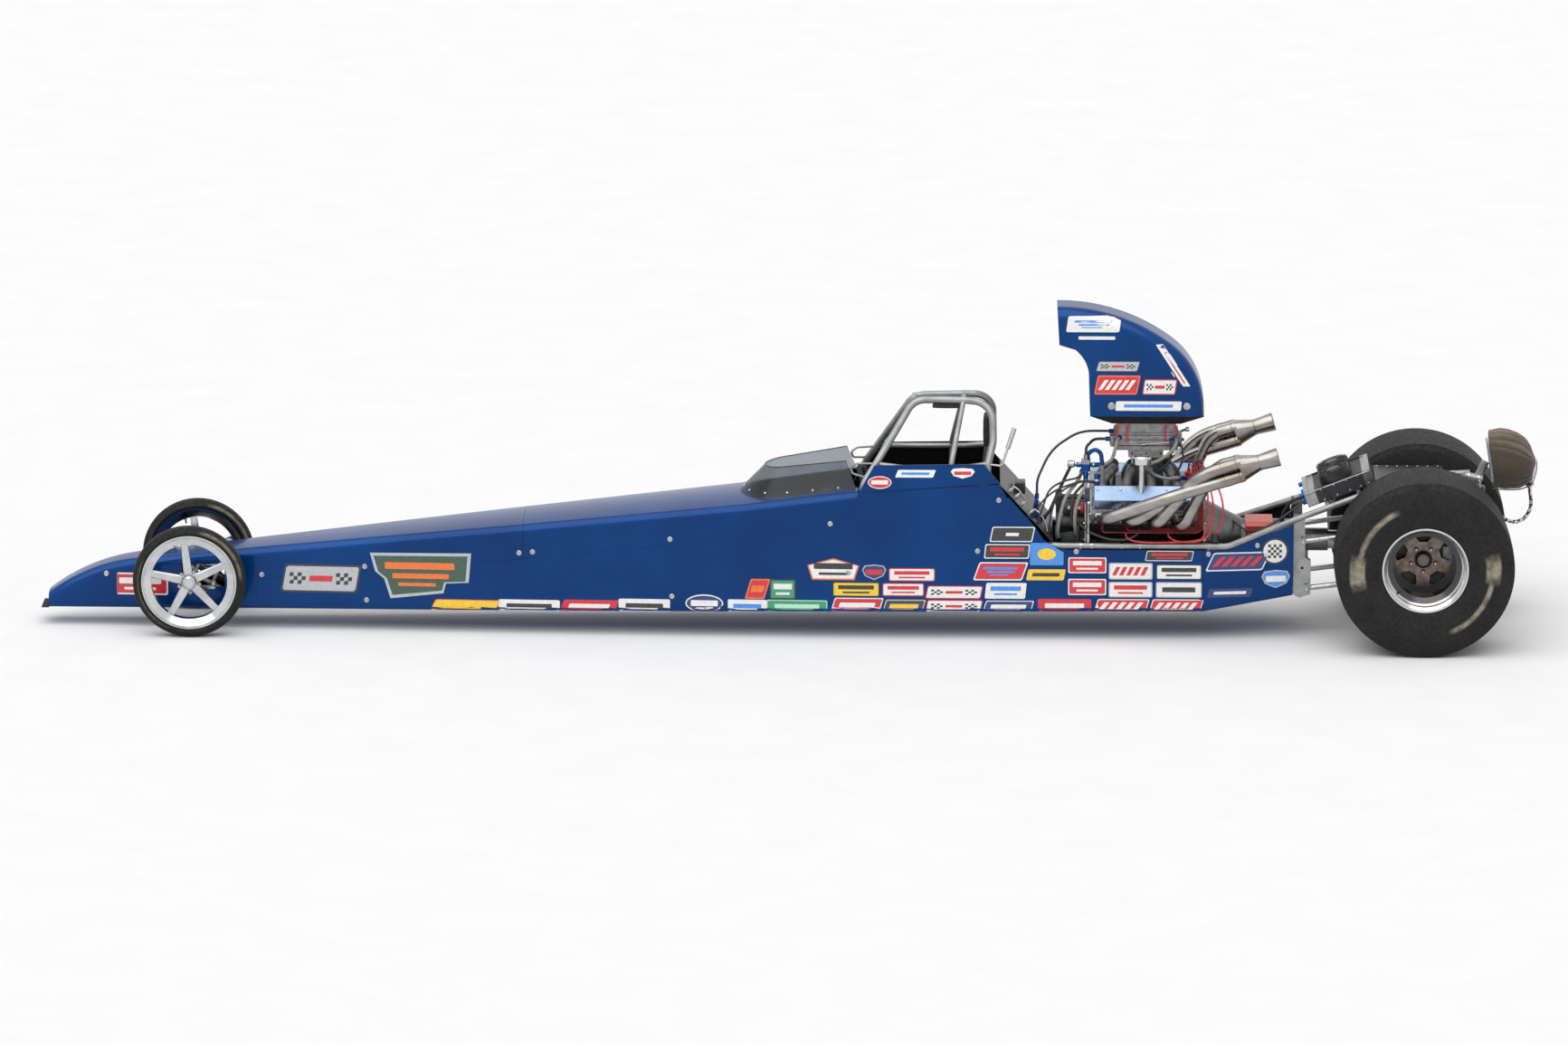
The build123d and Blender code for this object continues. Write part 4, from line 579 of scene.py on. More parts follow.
def piece(name, bm, material, body="chassis"):
    bmesh.ops.recalc_face_normals(bm, faces=bm.faces)
    mesh = bpy.data.meshes.new(name)
    bm.to_mesh(mesh)
    bm.free()
    made = new_object(name, mesh)
    mesh.materials.append(MATERIALS[material])
    mesh.shade_smooth()
    mesh.set_sharp_from_angle(angle=SHARP_ANGLE)
    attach(made, body)
    return made


# Brake parachute: its tether is the one free cord

TETHER = [(3.58, 0, 0.706), (3.589, 0.004, 0.655), (3.591, 0.008, 0.6), (3.566, 0.008, 0.548), (3.514, 0.004, 0.524),
          (3.456, -0.004, 0.546), (3.408, -0.008, 0.592), (3.374, -0.004, 0.64), (3.358, 0, 0.677)]
TETHER_D, TETHER_LENGTH = 0.018, 0.46


def make_tether():
    curve = bpy.data.curves.new("tether", "CURVE")
    curve.dimensions = "3D"
    spline = curve.splines.new("NURBS")
    spline.points.add(len(TETHER) - 1)
    for point, place in zip(spline.points, TETHER):
        point.co = (*place, 1)
    spline.order_u = 3
    spline.use_endpoint_u = True
    curve.bevel_depth = TETHER_D / 2
    curve.bevel_resolution = 5
    curve.materials.append(MATERIALS["tether"])
    tether = new_object("tether", curve)
    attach(tether, "chassis")
    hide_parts("chute_tether")


# Bodywork: vinyl patches and fasteners, laid on the panels by rays from the side

class Skin:
    """The outer surface of some nodes, found by rays along Y."""

    def __init__(self, *nodes):
        verts, faces = [], []
        for mesh in [NODES[node].data for node in nodes]:
            faces += [[len(verts) + i for i in p.vertices] for p in mesh.polygons]
            verts += [v.co.copy() for v in mesh.vertices]
        self.tree = BVHTree.FromPolygons(verts, faces)

    def at(self, x, z, side):
        spot, normal, _, _ = self.tree.ray_cast(Vector((x, side * 2.0, z)), Vector((0, -side, 0)))
        return spot and (spot, normal if normal.y * side > 0 else -normal)


PANELS = ("nose_cowl", "rear_cowl", "side_panels", "cockpit_panels", "engine_panels", "rear_panels", "belly_pan",
          "air_scoop")
# Patches. Columns: x0, x1, z0, z1 in mm, shape, lean, then the colours of the edge, the field and the marks,
# and the kind of marks.
PATCHES = """
-3262 -2991 158 266  plate  0  white red white bars
-2434 -2062 186 325  plate  0.18  black grey red flags
-2009 -1519 165 407  cloud  0  grey moss orange stripes
-1707 -1392 106 166  plate  0.5  orange yellow red bar
-1388 -1091 113 172  plate  0  white white black bar
-1082 -816 116 176  plate  0.4  red red white bar
-807 -559 118 185  plate  0  white white black bar
-485 -302 124 212  oval  0  white navy white bar
-280 -93 124 190  plate  0  white white sky bar
-93 199 129 191  plate  0  mint green mint bar
-184 -90 194 293  plate  0.3  orange red orange bar
-78 47 194 293  plate  0  black green white bars
225 460 133 206  plate  0.3  white red white bar
473 664 134 198  plate  0.3  yellow navy yellow bar
676 942 136 198  plate  0.2  red white red flags
676 942 204 268  plate  0.2  red white red flags
955 1186 137 196  plate  0.3  white navy white bar
1212 1469 139 206  plate  0  red red white bar
1491 1740 141 207  plate  0.3  white red white slashes
1755 2000 141 207  plate  0.3  white red white slashes
103 352 293 400  house  0  orange white black bars
366 482 295 371  shield  0  grey navy red bar
225 450 212 284  plate  0  black yellow black bars
495 716 290 354  plate  0  red white red bars
465 664 216 280  plate  0  red white red bars
985 1190 486 561  plate  0.2  white black white flags
955 1170 404 475  plate  0.1  white black red bars
915 1150 296 386  plate  0.35  white red sky stripes
960 1154 206 284  plate  0.1  white white sky bars
1172 1334 372 482  plate  0  sky sky yellow diamond
1160 1340 298 352  plate  0.2  yellow yellow black bar
1357 1540 334 412  plate  0  white red white bars
1357 1540 226 306  plate  0  white red white bars
1552 1762 304 386  plate  0  grey white red slashes
1552 1762 216 292  plate  0  grey white red bars
1730 1955 396 446  plate  0.2  white black red bars
1779 1999 304 380  plate  0  black white black bars
1779 1999 216 292  plate  0  grey white black bar
2035 2310 345 436  plate  0.45  white navy red slashes
2030 2240 215 258  plate  0.3  navy navy white bar
2285 2415 372 502  disc  0  black white black chequer
2286 2425 255 345  shield  0  grey sky white bar
392 506 742 802  oval  0  white red white bar
530 712 796 832  plate  0.4  white white sky bar
790 905 792 842  shield  0  white white red bar
1345 1600 1484 1560  plate  0.15  white white sky stripes
1400 1575 1448 1464  plate  0  white white sky none
1490 1690 1294 1345  plate  0.3  black grey red flags
1485 1690 1184 1276  plate  0.2  orange red white slashes
1712 1870 1184 1258  plate  0.15  red white red flags
1580 1895 1106 1152  plate  0.1  white white sky bar
1836 1872 1225 1425  plate  -0.66  white red white bars
"""
# The first layer stands off the skin by this much, and each next one by this much more.
STAND_OFF, LAYER = 0.0004, 0.0003
ROUND = [(math.cos(math.pi * n / 16), math.sin(math.pi * n / 16)) for n in range(32)]
# A shape's edge in its own square, from -1 to 1.
OUTLINES = {
    "oval": ROUND, "disc": ROUND,
    "house": [(-0.82, -1), (0.82, -1), (1, 0.35), (0, 1), (-1, 0.35)],
    "shield": [(0, -1), (0.75, -0.5), (1, 0.3), (0.8, 0.85), (0, 1), (-0.8, 0.85), (-1, 0.3), (-0.75, -0.5)],
    "cloud": [(-0.6, -1), (0.45, -0.75), (0.5, -0.35), (0.95, -0.3), (1, 0.9), (-1, 0.85), (-0.9, 0.1),
              (-0.72, -0.2)],
    "plate": [(-1, -0.86), (-0.95, -1), (0.95, -1), (1, -0.86), (1, 0.86), (0.95, 1), (-0.95, 1), (-1, 0.86)],
}
# Generic marks: x0, x1, z0 and z1 as shares of the patch's box.
MARKS = {
    "bar": [(0.12, 0.88, 0.32, 0.7)],
    "bars": [(0.1, 0.9, 0.5, 0.82), (0.2, 0.8, 0.18, 0.32)],
    "stripes": [(0.12, 0.86, 0.62, 0.78), (0.2, 0.8, 0.4, 0.52), (0.26, 0.66, 0.22, 0.3)],
    "slashes": [(0.1 + 0.17 * n, 0.2 + 0.17 * n, 0.2, 0.8) for n in range(5)],
    "diamond": [(0.2, 0.8, 0.2, 0.8)],
    "flags": [(a + 0.055 * n, a + 0.055 * n + 0.055, 0.26 + 0.16 * m, 0.42 + 0.16 * m)
              for a in (0.07, 0.71) for n in range(4) for m in range(3) if (n + m) % 2 == 0]
             + [(0.34, 0.66, 0.38, 0.62)],
    "chequer": [(0.2 + 0.12 * n, 0.32 + 0.12 * n, 0.2 + 0.12 * m, 0.32 + 0.12 * m)
                for n in range(5) for m in range(5) if (n + m) % 2 == 0],
    "none": [],
}


def lay(bm, skin, side, box, shape, lean, layer):
    # One flat shape, cut into small faces and laid on the skin.
    x0, x1, z0, z1 = box
    pace = 0.006 if z0 > 0.9 or x1 < -2.9 else 0.02
    mid_x, mid_z, half_x, half_z = (x0 + x1) / 2, (z0 + z1) / 2, (x1 - x0) / 2, (z1 - z0) / 2
    edge, corners = [], OUTLINES[shape]
    for (ax, az), (bx, bz) in zip(corners, corners[1:] + corners[:1]):
        steps = max(1, math.ceil(math.hypot((bx - ax) * half_x, (bz - az) * half_z) / pace))
        edge += [(ax + (bx - ax) * n / steps, az + (bz - az) * n / steps) for n in range(steps)]
    rings = max(1, math.ceil(min(half_x, half_z) / pace))
    grid = []
    for ring in range(rings, -1, -1):
        grid.append([])
        for u, v in (edge if ring else [(0, 0)]):
            for pull in range(12):
                reach = ring / rings * (1 - pull / 12)
                z = mid_z + v * reach * half_z
                found = skin.at(mid_x + u * reach * half_x + lean * (z - mid_z), z, side)
                if found and found[0].y * side > 0.1:
                    break
            if not found:
                return
            grid[-1].append(bm.verts.new(found[0] + found[1] * (STAND_OFF + layer * LAYER)))
    loft(bm, grid, capped=False)


def make_patches():
    skin = Skin(*PANELS)
    bms = {shade: bmesh.new() for shade, *_ in rows(VINYLS)}
    for *box, shape, lean, edge, field, mark, kind in rows(PATCHES):
        x0, x1, z0, z1 = box = metres(box)
        rim = 0.07 * (z1 - z0)
        wide, high = x1 - x0 - 2 * rim, z1 - z0 - 2 * rim
        tilt = {"slashes": lean + 0.5, "chequer": 0}.get(kind, lean)
        for side in SIDES:
            lay(bms[edge], skin, side, box, shape, lean, 0)
            lay(bms[field], skin, side, (x0 + rim, x1 - rim, z0 + rim, z1 - rim), shape, lean, 1)
            for a, b, c, d in MARKS[kind]:
                shade = "black" if kind == "flags" and wide * (b - a) < 0.03 else mark
                lay(bms[shade], skin, side, (x0 + rim + wide * a, x0 + rim + wide * b, z0 + rim + high * c,
                                             z0 + rim + high * d), "oval" if kind == "diamond" else "plate", tilt, 2)
    for shade, bm in bms.items():
        piece("vinyl_" + shade, bm, "vinyl_" + shade)


# Quarter turn fasteners on the panels, and oval plates on the scoop. Columns: x, z.
FASTENERS = [(-2.535, 0.269), (-2.035, 0.32), (-2.027, 0.154), (-1.283, 0.56), (-1.287, 0.403), (-1.222, 0.409),
             (-0.559, 0.482), (-0.55, 0.2), (0.212, 0.57), (1.021, 0.691), (0.921, 0.44), (2.266, 0.467),
             (0.3, 0.33), (1.395, 0.44), (2.03, 0.43), (-3.29, 0.26)]
SCOOP_PLATES = [(1.56, 1.128), (1.922, 1.128)]
FASTENER = [(-0.001, 0.0125), (0.0008, 0.0125), (0.0018, 0.0105), (0.001, 0.0085), (0.001, 0.004), (0.0016, 0.0035),
            (0.0016, 0)]
SCOOP_PLATE = [(-0.001, 0.017), (0.001, 0.017), (0.0022, 0.014), (0.0022, 0.006), (0.004, 0.005), (0.004, 0)]


def make_fasteners():
    skin, bm = Skin(*PANELS), bmesh.new()
    for side in SIDES:
        for spots, profile in ((FASTENERS, FASTENER), (SCOOP_PLATES, SCOOP_PLATE)):
            for found in [skin.at(x, z, side) for x, z in spots]:
                if found:
                    spin(bm, *found, profile)
    piece("fasteners", bm, "steel")


# Parachute bag: a lofted shell of canvas, gathered towards the rear. Its top, foot and straps are x, z.
BAG_TOP = [(3.378, 0.977), (3.44, 0.984), (3.498, 0.974), (3.545, 0.948), (3.58, 0.908), (3.598, 0.868)]
BAG_LOW = [(3.411, 0.706), (3.46, 0.701), (3.51, 0.702), (3.553, 0.712), (3.586, 0.742), (3.6, 0.79)]
BAG_HALF = [0.08, 0.09, 0.092, 0.086, 0.072, 0.05]
BAG_STRAP = [(3.402, 0.7), (3.47, 0.696), (3.54, 0.7), (3.59, 0.728), (3.612, 0.785), (3.614, 0.835)]
# The flat face by the mount. Columns: z, x.
BAG_FACE = [(0.705, 3.4115), (0.815, 3.3985), (0.93, 3.381), (0.985, 3.379)]


def face_x(z):
    for (a, low), (b, high) in zip(BAG_FACE, BAG_FACE[1:]):
        if z <= b:
            return low + (high - low) * max(0, (z - a) / (b - a))
    return BAG_FACE[-1][1]


def bag_point(high, foot, wide, share, turn):
    # A point of the shell, a share of the way to the rear: a blunt oval with pleats, creases and a hem.
    c, s = math.cos(turn), math.sin(turn)
    power = 2 / (3.4 - share)
    place = (high + foot) / 2 + (high - foot) / 2 * math.copysign(abs(s) ** power, s)
    place.y += wide * math.copysign(abs(c) ** power, c)
    out = Vector((0.25 * share, c * 0.9, s)).normalized()
    uneven = noise.noise(Vector((c * 1.8, s * 1.8, share * 0.8)))
    pleat = abs(math.sin(turn * 8 + 0.5 * math.sin(2.2 * share + turn) + uneven * 2.2)) ** 0.6
    pull = math.sin(math.pi * min(1, 0.08 + share * 0.95)) ** 0.8
    crease = noise.fractal(place * 21 + Vector((0, 0, 4)), 0.7, 2.1, 4)
    place += out * ((0.0125 + 0.0075 * s) * pull * (pleat - 0.75) + 0.0034 * crease * min(1, share * 5))
    return place - out * 0.0022 * math.exp(-((share - 0.055) / 0.016) ** 2)


def make_bag():
    bm = bmesh.new()
    around, stations, inward = 132, 44, 9
    lines = [rounded(p, 10) for p in ([(x, 0, z) for x, z in BAG_TOP], [(x, 0, z) for x, z in BAG_LOW],
                                      [(n, 0, h) for n, h in enumerate(BAG_HALF)])]
    rings = []
    for share in [n / (stations - 1) for n in range(stations)]:
        spot = share * (len(lines[0]) - 1)
        first = min(int(spot), len(lines[0]) - 2)
        high, foot, half = [line[first].lerp(line[first + 1], spot - first) for line in lines]
        places = [bag_point(high, foot, half.z, share, 2 * math.pi * k / around) for k in range(around)]
        if not share:
            places = [Vector((face_x(p.z), p.y, p.z)) for p in places]
        rings.append([bm.verts.new(p) for p in places])
    loft(bm, rings, capped=False)
    for ring, flat in ((rings[0], True), (rings[-1], False)):
        centre, end = sum((v.co for v in ring), Vector()) / around, [ring]
        for share in [1 - step / inward for step in range(1, inward)]:
            end.append([])
            for k, v in enumerate(ring):
                place = centre.lerp(v.co, share)
                if flat:
                    place.x = face_x(place.z)
                else:
                    tuck = 0.004 * abs(math.sin(k * math.pi * 11 / around)) * math.sin(math.pi * share)
                    place.x += 0.01 * (1 - share * share) - tuck
                end[-1].append(bm.verts.new(place))
        loft(bm, end, capped=False)
        bm.faces.new(end[-1])
    bag = piece("parachute_bag", bm, "canvas")
    smooth = bag.modifiers.new("smooth", "SUBSURF")
    smooth.levels = smooth.render_levels = 1
    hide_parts("chute_bag")


def make_bag_trim():
    straps, knot = meshes(2)
    for y in (-0.028, 0.028):
        strap(straps, [(x, y, z) for x, z in BAG_STRAP], 0.02)
    for n, spot in enumerate([(3.578, 0.002, 0.712), (3.586, -0.006, 0.722), (3.583, 0.008, 0.73)]):
        torus(knot, spot, (0.4, 0.3 * (n - 1), 1), 0.011, 0.0065, 24, 10)
    piece("bag_straps", straps, "webbing")
    piece("tether_knot", knot, "tether")


# Cockpit: pads, seat trim, belts and gauges

def make_pads():
    bm = bmesh.new()
    for side in SIDES:
        cushion(bm, (0.765, side * 0.066, 1.1042), [(1, 0, 0), (0, 1, 0), (0, 0, 1)], (0.065, 0.02, 0.01), 0.2,
                (26, 10, 6))
    cushion(bm, (0.962, 0, 0.975), [(0, 0, 1), (0, 1, 0), (1, 0, 0)], (0.075, 0.075, 0.0175), 0.3, (26, 26, 6),
            channels=(-0.34, 0.34))
    pads = piece("head_pad_covers", bm, "pad")
    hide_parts("head_pads")


SEAT_FOOT, SEAT_TOP = Vector((0.859, 0, 0.204)), Vector((0.971, 0, 0.721))
SEAT_FRONT, SEAT_REAR = Vector((0.561, 0, 0.242)), Vector((0.809, 0, 0.186))


def make_seat_trim():
    back, base = (SEAT_TOP - SEAT_FOOT).normalized(), (SEAT_REAR - SEAT_FRONT).normalized()
    back_out, base_out = Vector((-back.z, 0, back.x)), Vector((-base.z, 0, base.x))
    pads, belts, metal = meshes(3)
    cushion(pads, SEAT_FOOT + back * 0.285 + back_out * 0.0165, [back, (0, 1, 0), back_out], (0.225, 0.165, 0.016),
            0.25, (40, 30, 6), channels=(-0.5, 0, 0.5))
    cushion(pads, SEAT_FRONT + base * 0.118 + base_out * 0.0165, [base, (0, 1, 0), base_out], (0.112, 0.165, 0.016),
            0.25, (24, 30, 6), channels=(0,))
    buckle = SEAT_FRONT + base * 0.16 + base_out * 0.04
    for side in SIDES:
        shoulder = [(x, side * 0.062, z) for x, z in ((0.975, 0.752), (0.966, 0.7755), (0.944, 0.768))]
        shoulder += [off(SEAT_FOOT + back * s + back_out * 0.036, 0, side * y)
                     for s, y in ((0.47, 0.062), (0.38, 0.062), (0.26, 0.053), (0.14, 0.041))]
        shoulder += [off(buckle, 0.06, side * 0.028, 0.02), off(buckle, 0.015, side * 0.02, 0.004)]
        strap(belts, shoulder, 0.05, 0.002, 8)
        lap = [(0.8, side * 0.1795, 0.335), (0.775, side * 0.176, 0.29), (0.75, side * 0.15, 0.2565),
               off(buckle, 0.02, side * 0.085, 0.004), off(buckle, 0.004, side * 0.03, 0.003)]
        strap(belts, lap, 0.045, 0.002, 8, across=(1, 0, 0.3))
        slab(metal, off(buckle, -0.026, side * 0.052 - 0.013, 0.001), off(buckle, 0.026, side * 0.052 + 0.013, 0.005),
             0.0015)
        for share in (0.3, 0.33):
            spot = SEAT_FOOT + back * share + back_out * 0.039
            rod(metal, off(spot, 0, side * 0.062 - 0.031), off(spot, 0, side * 0.062 + 0.031), 0.0032, 10)
    spin(metal, buckle - base_out * 0.004, base_out, [(0, 0.031), (0.01, 0.031), (0.013, 0.028), (0.013, 0.018),
                                                      (0.016, 0.016), (0.016, 0)], 32)
    slab(metal, off(buckle, -0.004, -0.03, 0.012), off(buckle, 0.004, 0.03, 0.017), 0.0015)
    piece("seat_pads", pads, "seat_cloth")
    piece("belts", belts, "belt")
    piece("belt_fittings", metal, "steel")


def make_gauges():
    dark, bright, marks, needles, switches = meshes(5)
    back = (1, 0, 0)

    def on_dial(degrees):
        return Vector((0, -math.cos(math.radians(degrees)), math.sin(math.radians(degrees))))

    for n, y in enumerate((-0.13, -0.075, 0.075, 0.13)):
        face = Vector((0.2126, y, 0.63))
        disc(dark, face, back, 0.0235, 0.0008, 32, -0.001)
        torus(bright, off(face, 0.001), back, 0.0248, 0.0026, 40)
        for tick in range(11):
            out, spot = on_dial(215 - 25 * tick), off(face, 0.0012)
            rod(marks, spot + out * (0.0195 if tick % 5 else 0.018), spot + out * 0.0215, 0.0005, 6)
        out, spot = on_dial(160 - 35 * n), off(face, 0.0018)
        rod(needles, spot - out * 0.004, spot + out * 0.0165, 0.0006, 6)
        spin(bright, face, back, [(0, 0.0028), (0.0032, 0.0024), (0.0036, 0)], 16)
    for y in (-0.024, 0.0, 0.024):
        spin(switches, (0.2046, y, 0.6), back, [(0, 0.007), (0.004, 0.007), (0.0045, 0.0045), (0.004, 0.003)], 16)
        rod(switches, (0.206, y, 0.6), (0.223, y, 0.606), 0.0022, 10)
    piece("gauge_faces", dark, "black")
    piece("gauge_rims", bright, "alloy")
    piece("gauge_marks", marks, "vinyl_white")
    piece("gauge_needles", needles, "vinyl_orange")
    piece("dash_switches", switches, "steel")


def make_grip():
    # Stitches round the steering wheel's rim, and the bolts of its hub.
    bm, tilt = bmesh.new(), math.radians(25)
    axis, side, centre = Vector((math.cos(tilt), 0, math.sin(tilt))), Vector((0, 1, 0)), Vector((0.4, 0, 0.668))
    for out in spokes(axis, 60, side):
        spot = centre + out * 0.1118
        rod(bm, spot - axis * 0.0022, spot + axis * 0.0022, 0.0007, 6)
    for out in spokes(axis, 6, side):
        bolt(bm, centre + out * 0.024 + axis * 0.0028, axis, 0.0035, 0.003)
    piece("wheel_stitches", bm, "belt_edge", body="steering")


# Windscreen: a seal along its foot, a bead on its top edge, and rivets
SCREEN_FOOT_Z, SCREEN_RISE = 0.699, 0.112
# Outline at the foot and at the top. Columns: arc centre x, arc radius, rear x, rear half width, and the slope
# in degrees.
SCREEN_FOOT, SCREEN_TOP = (0.003, 0.222, 0.338, 0.232, 5.2), (0.025, 0.118, 0.306, 0.165, 7.8)


def screen_line(rise, out=0.0):
    # The screen's outline at a height above its foot, moved outwards by out.
    share = rise / SCREEN_RISE
    centre, radius, rear_x, half, slope = [a + (b - a) * share for a, b in zip(SCREEN_FOOT, SCREEN_TOP)]
    c, s = math.cos(math.radians(slope)), math.sin(math.radians(slope))
    sides = [(rear_x + (centre - rear_x) * n / 8, half + (radius - half) * n / 8 + out) for n in range(8)]
    turns = [math.radians(t) for t in range(90, 271, 10)]
    flat = sides + [(centre + (radius + out) * math.cos(t), (radius + out) * math.sin(t)) for t in turns]
    flat += [(x, -y) for x, y in sides[::-1]]
    return [Vector((x * c - rise * s, y, SCREEN_FOOT_Z + rise * c + x * s)) for x, y in flat]


def make_screen_trim():
    body, glass = Skin("nose_cowl", "rear_cowl", "side_panels", "cockpit_panels"), Skin("windscreen")
    seal, bead, rivets = meshes(3)
    hits = [body.tree.ray_cast(off(p, 0, 0, 0.15), Vector((0, 0, -1)))[0] for p in screen_line(0.015, 0.0015)]
    foot = [off(hit, 0, 0, 0.0012) for hit in hits if hit]
    swept(seal, foot, 0.0032, 8)
    for n in range(2, len(foot) - 2, 3):
        place, normal, _, _ = glass.tree.find_nearest(off(foot[n], 0, 0, 0.012))
        outward = normal.dot(Vector((place.x - 0.1, place.y, 0.02))) >= 0
        rivet(rivets, place, normal if outward else -normal, 0.0064)
    swept(bead, [glass.tree.find_nearest(spot)[0] for spot in screen_line(SCREEN_RISE)], 0.0024, 8)
    piece("screen_seal", seal, "black")
    piece("screen_bead", bead, "black")
    piece("screen_rivets", rivets, "alloy")


# Wheels

def by_axle(axle, y, radius, degrees):
    turn = math.radians(degrees)
    return Vector((axle[0] + radius * math.cos(turn), y, axle[1] + radius * math.sin(turn)))


def make_rear_wheel_trim():
    nuts, dark = meshes(2)
    for side in SIDES:
        out = Vector((0, side, 0))
        for n in range(5):
            spot = by_axle(REAR_AXLE, side * 0.36, 0.06035, 54 - 72 * n)
            spin(nuts, spot, out, [(0, 0.0105), (0.012, 0.0105), (0.014, 0.0095)])
            spin(nuts, spot, out, [(0.012, 0.0095), (0.024, 0.0095), (0.027, 0.0075), (0.027, 0.005), (0.022, 0.005)],
                 6)
            spin(nuts, spot, out, [(0.0, 0.0048), (0.032, 0.0048), (0.0335, 0.0036), (0.0335, 0)], 14)
        for n in range(24):
            bolt(nuts, by_axle(REAR_AXLE, side * 0.608, 0.1925, 90 - 15 * n), out, 0.0034, 0.0032)
        middle = by_axle(REAR_AXLE, 0, 0, 0)
        torus(nuts, middle + out * 0.6195, out, 0.1985, 0.0024, 96)
        torus(dark, middle + out * 0.3735, out, 0.0405, 0.0032, 48)
        spin(dark, middle + out * 0.3995, out, [(-0.001, 0.0235), (0.001, 0.0235), (0.001, 0.0215), (-0.001, 0.0215)],
             40)
        spin(dark, off(middle, -0.13, side * 0.585, -0.118), (0.13, side * 0.16, 0.118),
             [(0, 0.007), (0.004, 0.006), (0.016, 0.0045), (0.016, 0.0038), (0.028, 0.0038), (0.029, 0)], 14)
    piece("rear_wheel_nuts", nuts, "steel", "rear_axle")
    piece("rear_wheel_rings", dark, "black", "rear_axle")


def make_front_wheel_trim():
    for name, side in (("left", -1), ("right", 1)):
        bright, stem = meshes(2)
        out, aim = Vector((0, side, 0)), math.radians(97)
        torus(bright, by_axle(FRONT_AXLE, side * 0.3405, 0, 0), out, 0.033, 0.0016, 48)
        torus(bright, by_axle(FRONT_AXLE, side * 0.3415, 0, 0), out, 0.0215, 0.0012, 40)
        for n in range(5):
            bolt(bright, by_axle(FRONT_AXLE, side * 0.325, 0.052, 61 + 72 * n), out, 0.0055, 0.006)
        spin(stem, by_axle(FRONT_AXLE, side * 0.318, 0.179, 111.324), (-math.cos(aim), side * 0.5, -math.sin(aim)),
             [(0, 0.0062), (0.004, 0.0055), (0.014, 0.004), (0.03, 0.004), (0.031, 0)], 14)
        piece("front_trim_" + name, bright, "steel", "front_%s_wheel" % name)
        piece("valve_stem_" + name, stem, "black", "front_%s_wheel" % name)


# Engine
CRANK_Z, DIAG = 0.44, math.sqrt(0.5)
BANK_PORTS = [1.52, 1.638, 1.756, 1.874]


def banked(x, out, up, side):
    # A point on a cylinder bank: out from its middle plane, up from the crank.
    return Vector((x, side * (up + out) * DIAG, CRANK_Z + (up - out) * DIAG))


def make_engine_bolts():
    bm, dark = meshes(2)
    covers = Skin("valve_covers")
    for side in SIDES:
        out = Vector((0, side * DIAG, -DIAG))
        for x in (1.495, 1.605, 1.715, 1.825, 1.935):
            for z in (0.741, 0.671):
                found = covers.at(x, z, side)
                if found:
                    bolt(bm, *found, 0.0048, 0.005)
        for x in BANK_PORTS:
            for dx in (-0.032, 0.032):
                for up in (0.283, 0.341):
                    bolt(bm, banked(x + dx, 0.0883, up, side), out, 0.0055, 0.006)
            for up in (0.262, 0.33):
                bolt(bm, banked(x - 0.059, 0.0722, up, side), out, 0.0065, 0.007)
            # Black discs laid on the heads as painted shade in their pockets.
            disc(dark, banked(x - 0.028, 0.0722, 0.256, side), out, 0.01, 0.0006)
        for n in range(9):
            # The motor plates' bolts, as far as they show below the heads.
            turn = math.radians(-35 + 22.5 * n)
            y, z = 0.207 * math.cos(turn), CRANK_Z + 0.207 * math.sin(turn)
            if z < 0.552:
                bolt(bm, (2.0122, side * y, z), (1, 0, 0), 0.0065, 0.007)
                bolt(bm, (1.4358, side * y, z), (-1, 0, 0), 0.0065, 0.007)
        for x in (1.5, 1.6, 1.7, 1.8, 1.9, 1.97):
            bolt(bm, (x, side * 0.1285, 0.363), (0, side, 0), 0.0045, 0.005)
    piece("engine_bolts", bm, "steel")
    piece("head_pocket_shades", dark, "black")


def make_weld_rings():
    # On each side: rings round the collector, and a weld and a sleeve on each of its four tubes.
    bm = bmesh.new()
    for side in SIDES:
        start, end = Vector((2.175, side * 0.394, 0.877)), Vector((2.357, side * 0.394, 0.934))
        aim = (end - start).normalized()
        over = Vector((aim.z, 0, -aim.x))
        torus(bm, start + aim * 0.0945, aim, 0.0382, 0.0028, 40)
        torus(bm, end - aim * 0.0015, aim, 0.0442, 0.0016, 40)
        torus(bm, start + aim * 0.001, aim, 0.046, 0.002, 4)
        for dy, dz in ((1, 1), (-1, 1), (1, -1), (-1, -1)):
            spot = off(start + over * (dz * 0.0315), 0, side * dy * 0.0315)
            torus(bm, spot - aim * 0.012, aim, 0.03, 0.0022, 36)
            torus(bm, spot - aim * 0.085, aim, 0.03, 0.0016, 36)
            spin(bm, spot - aim * 0.085, aim, [(0, 0.03), (0, 0.0312), (0.03, 0.0312), (0.03, 0.03)], 36)
    piece("header_welds", bm, "exhaust")


# The pieces made of the runs and fittings below, by material.
ENGINE_PIECES = {"steel_braid": "braided_hoses", "hose": "thin_hoses", "red_lead": "red_leads",
                 "blue_anodised": "blue_fittings", "steel": "engine_fittings", "black": "ignition_coil"}
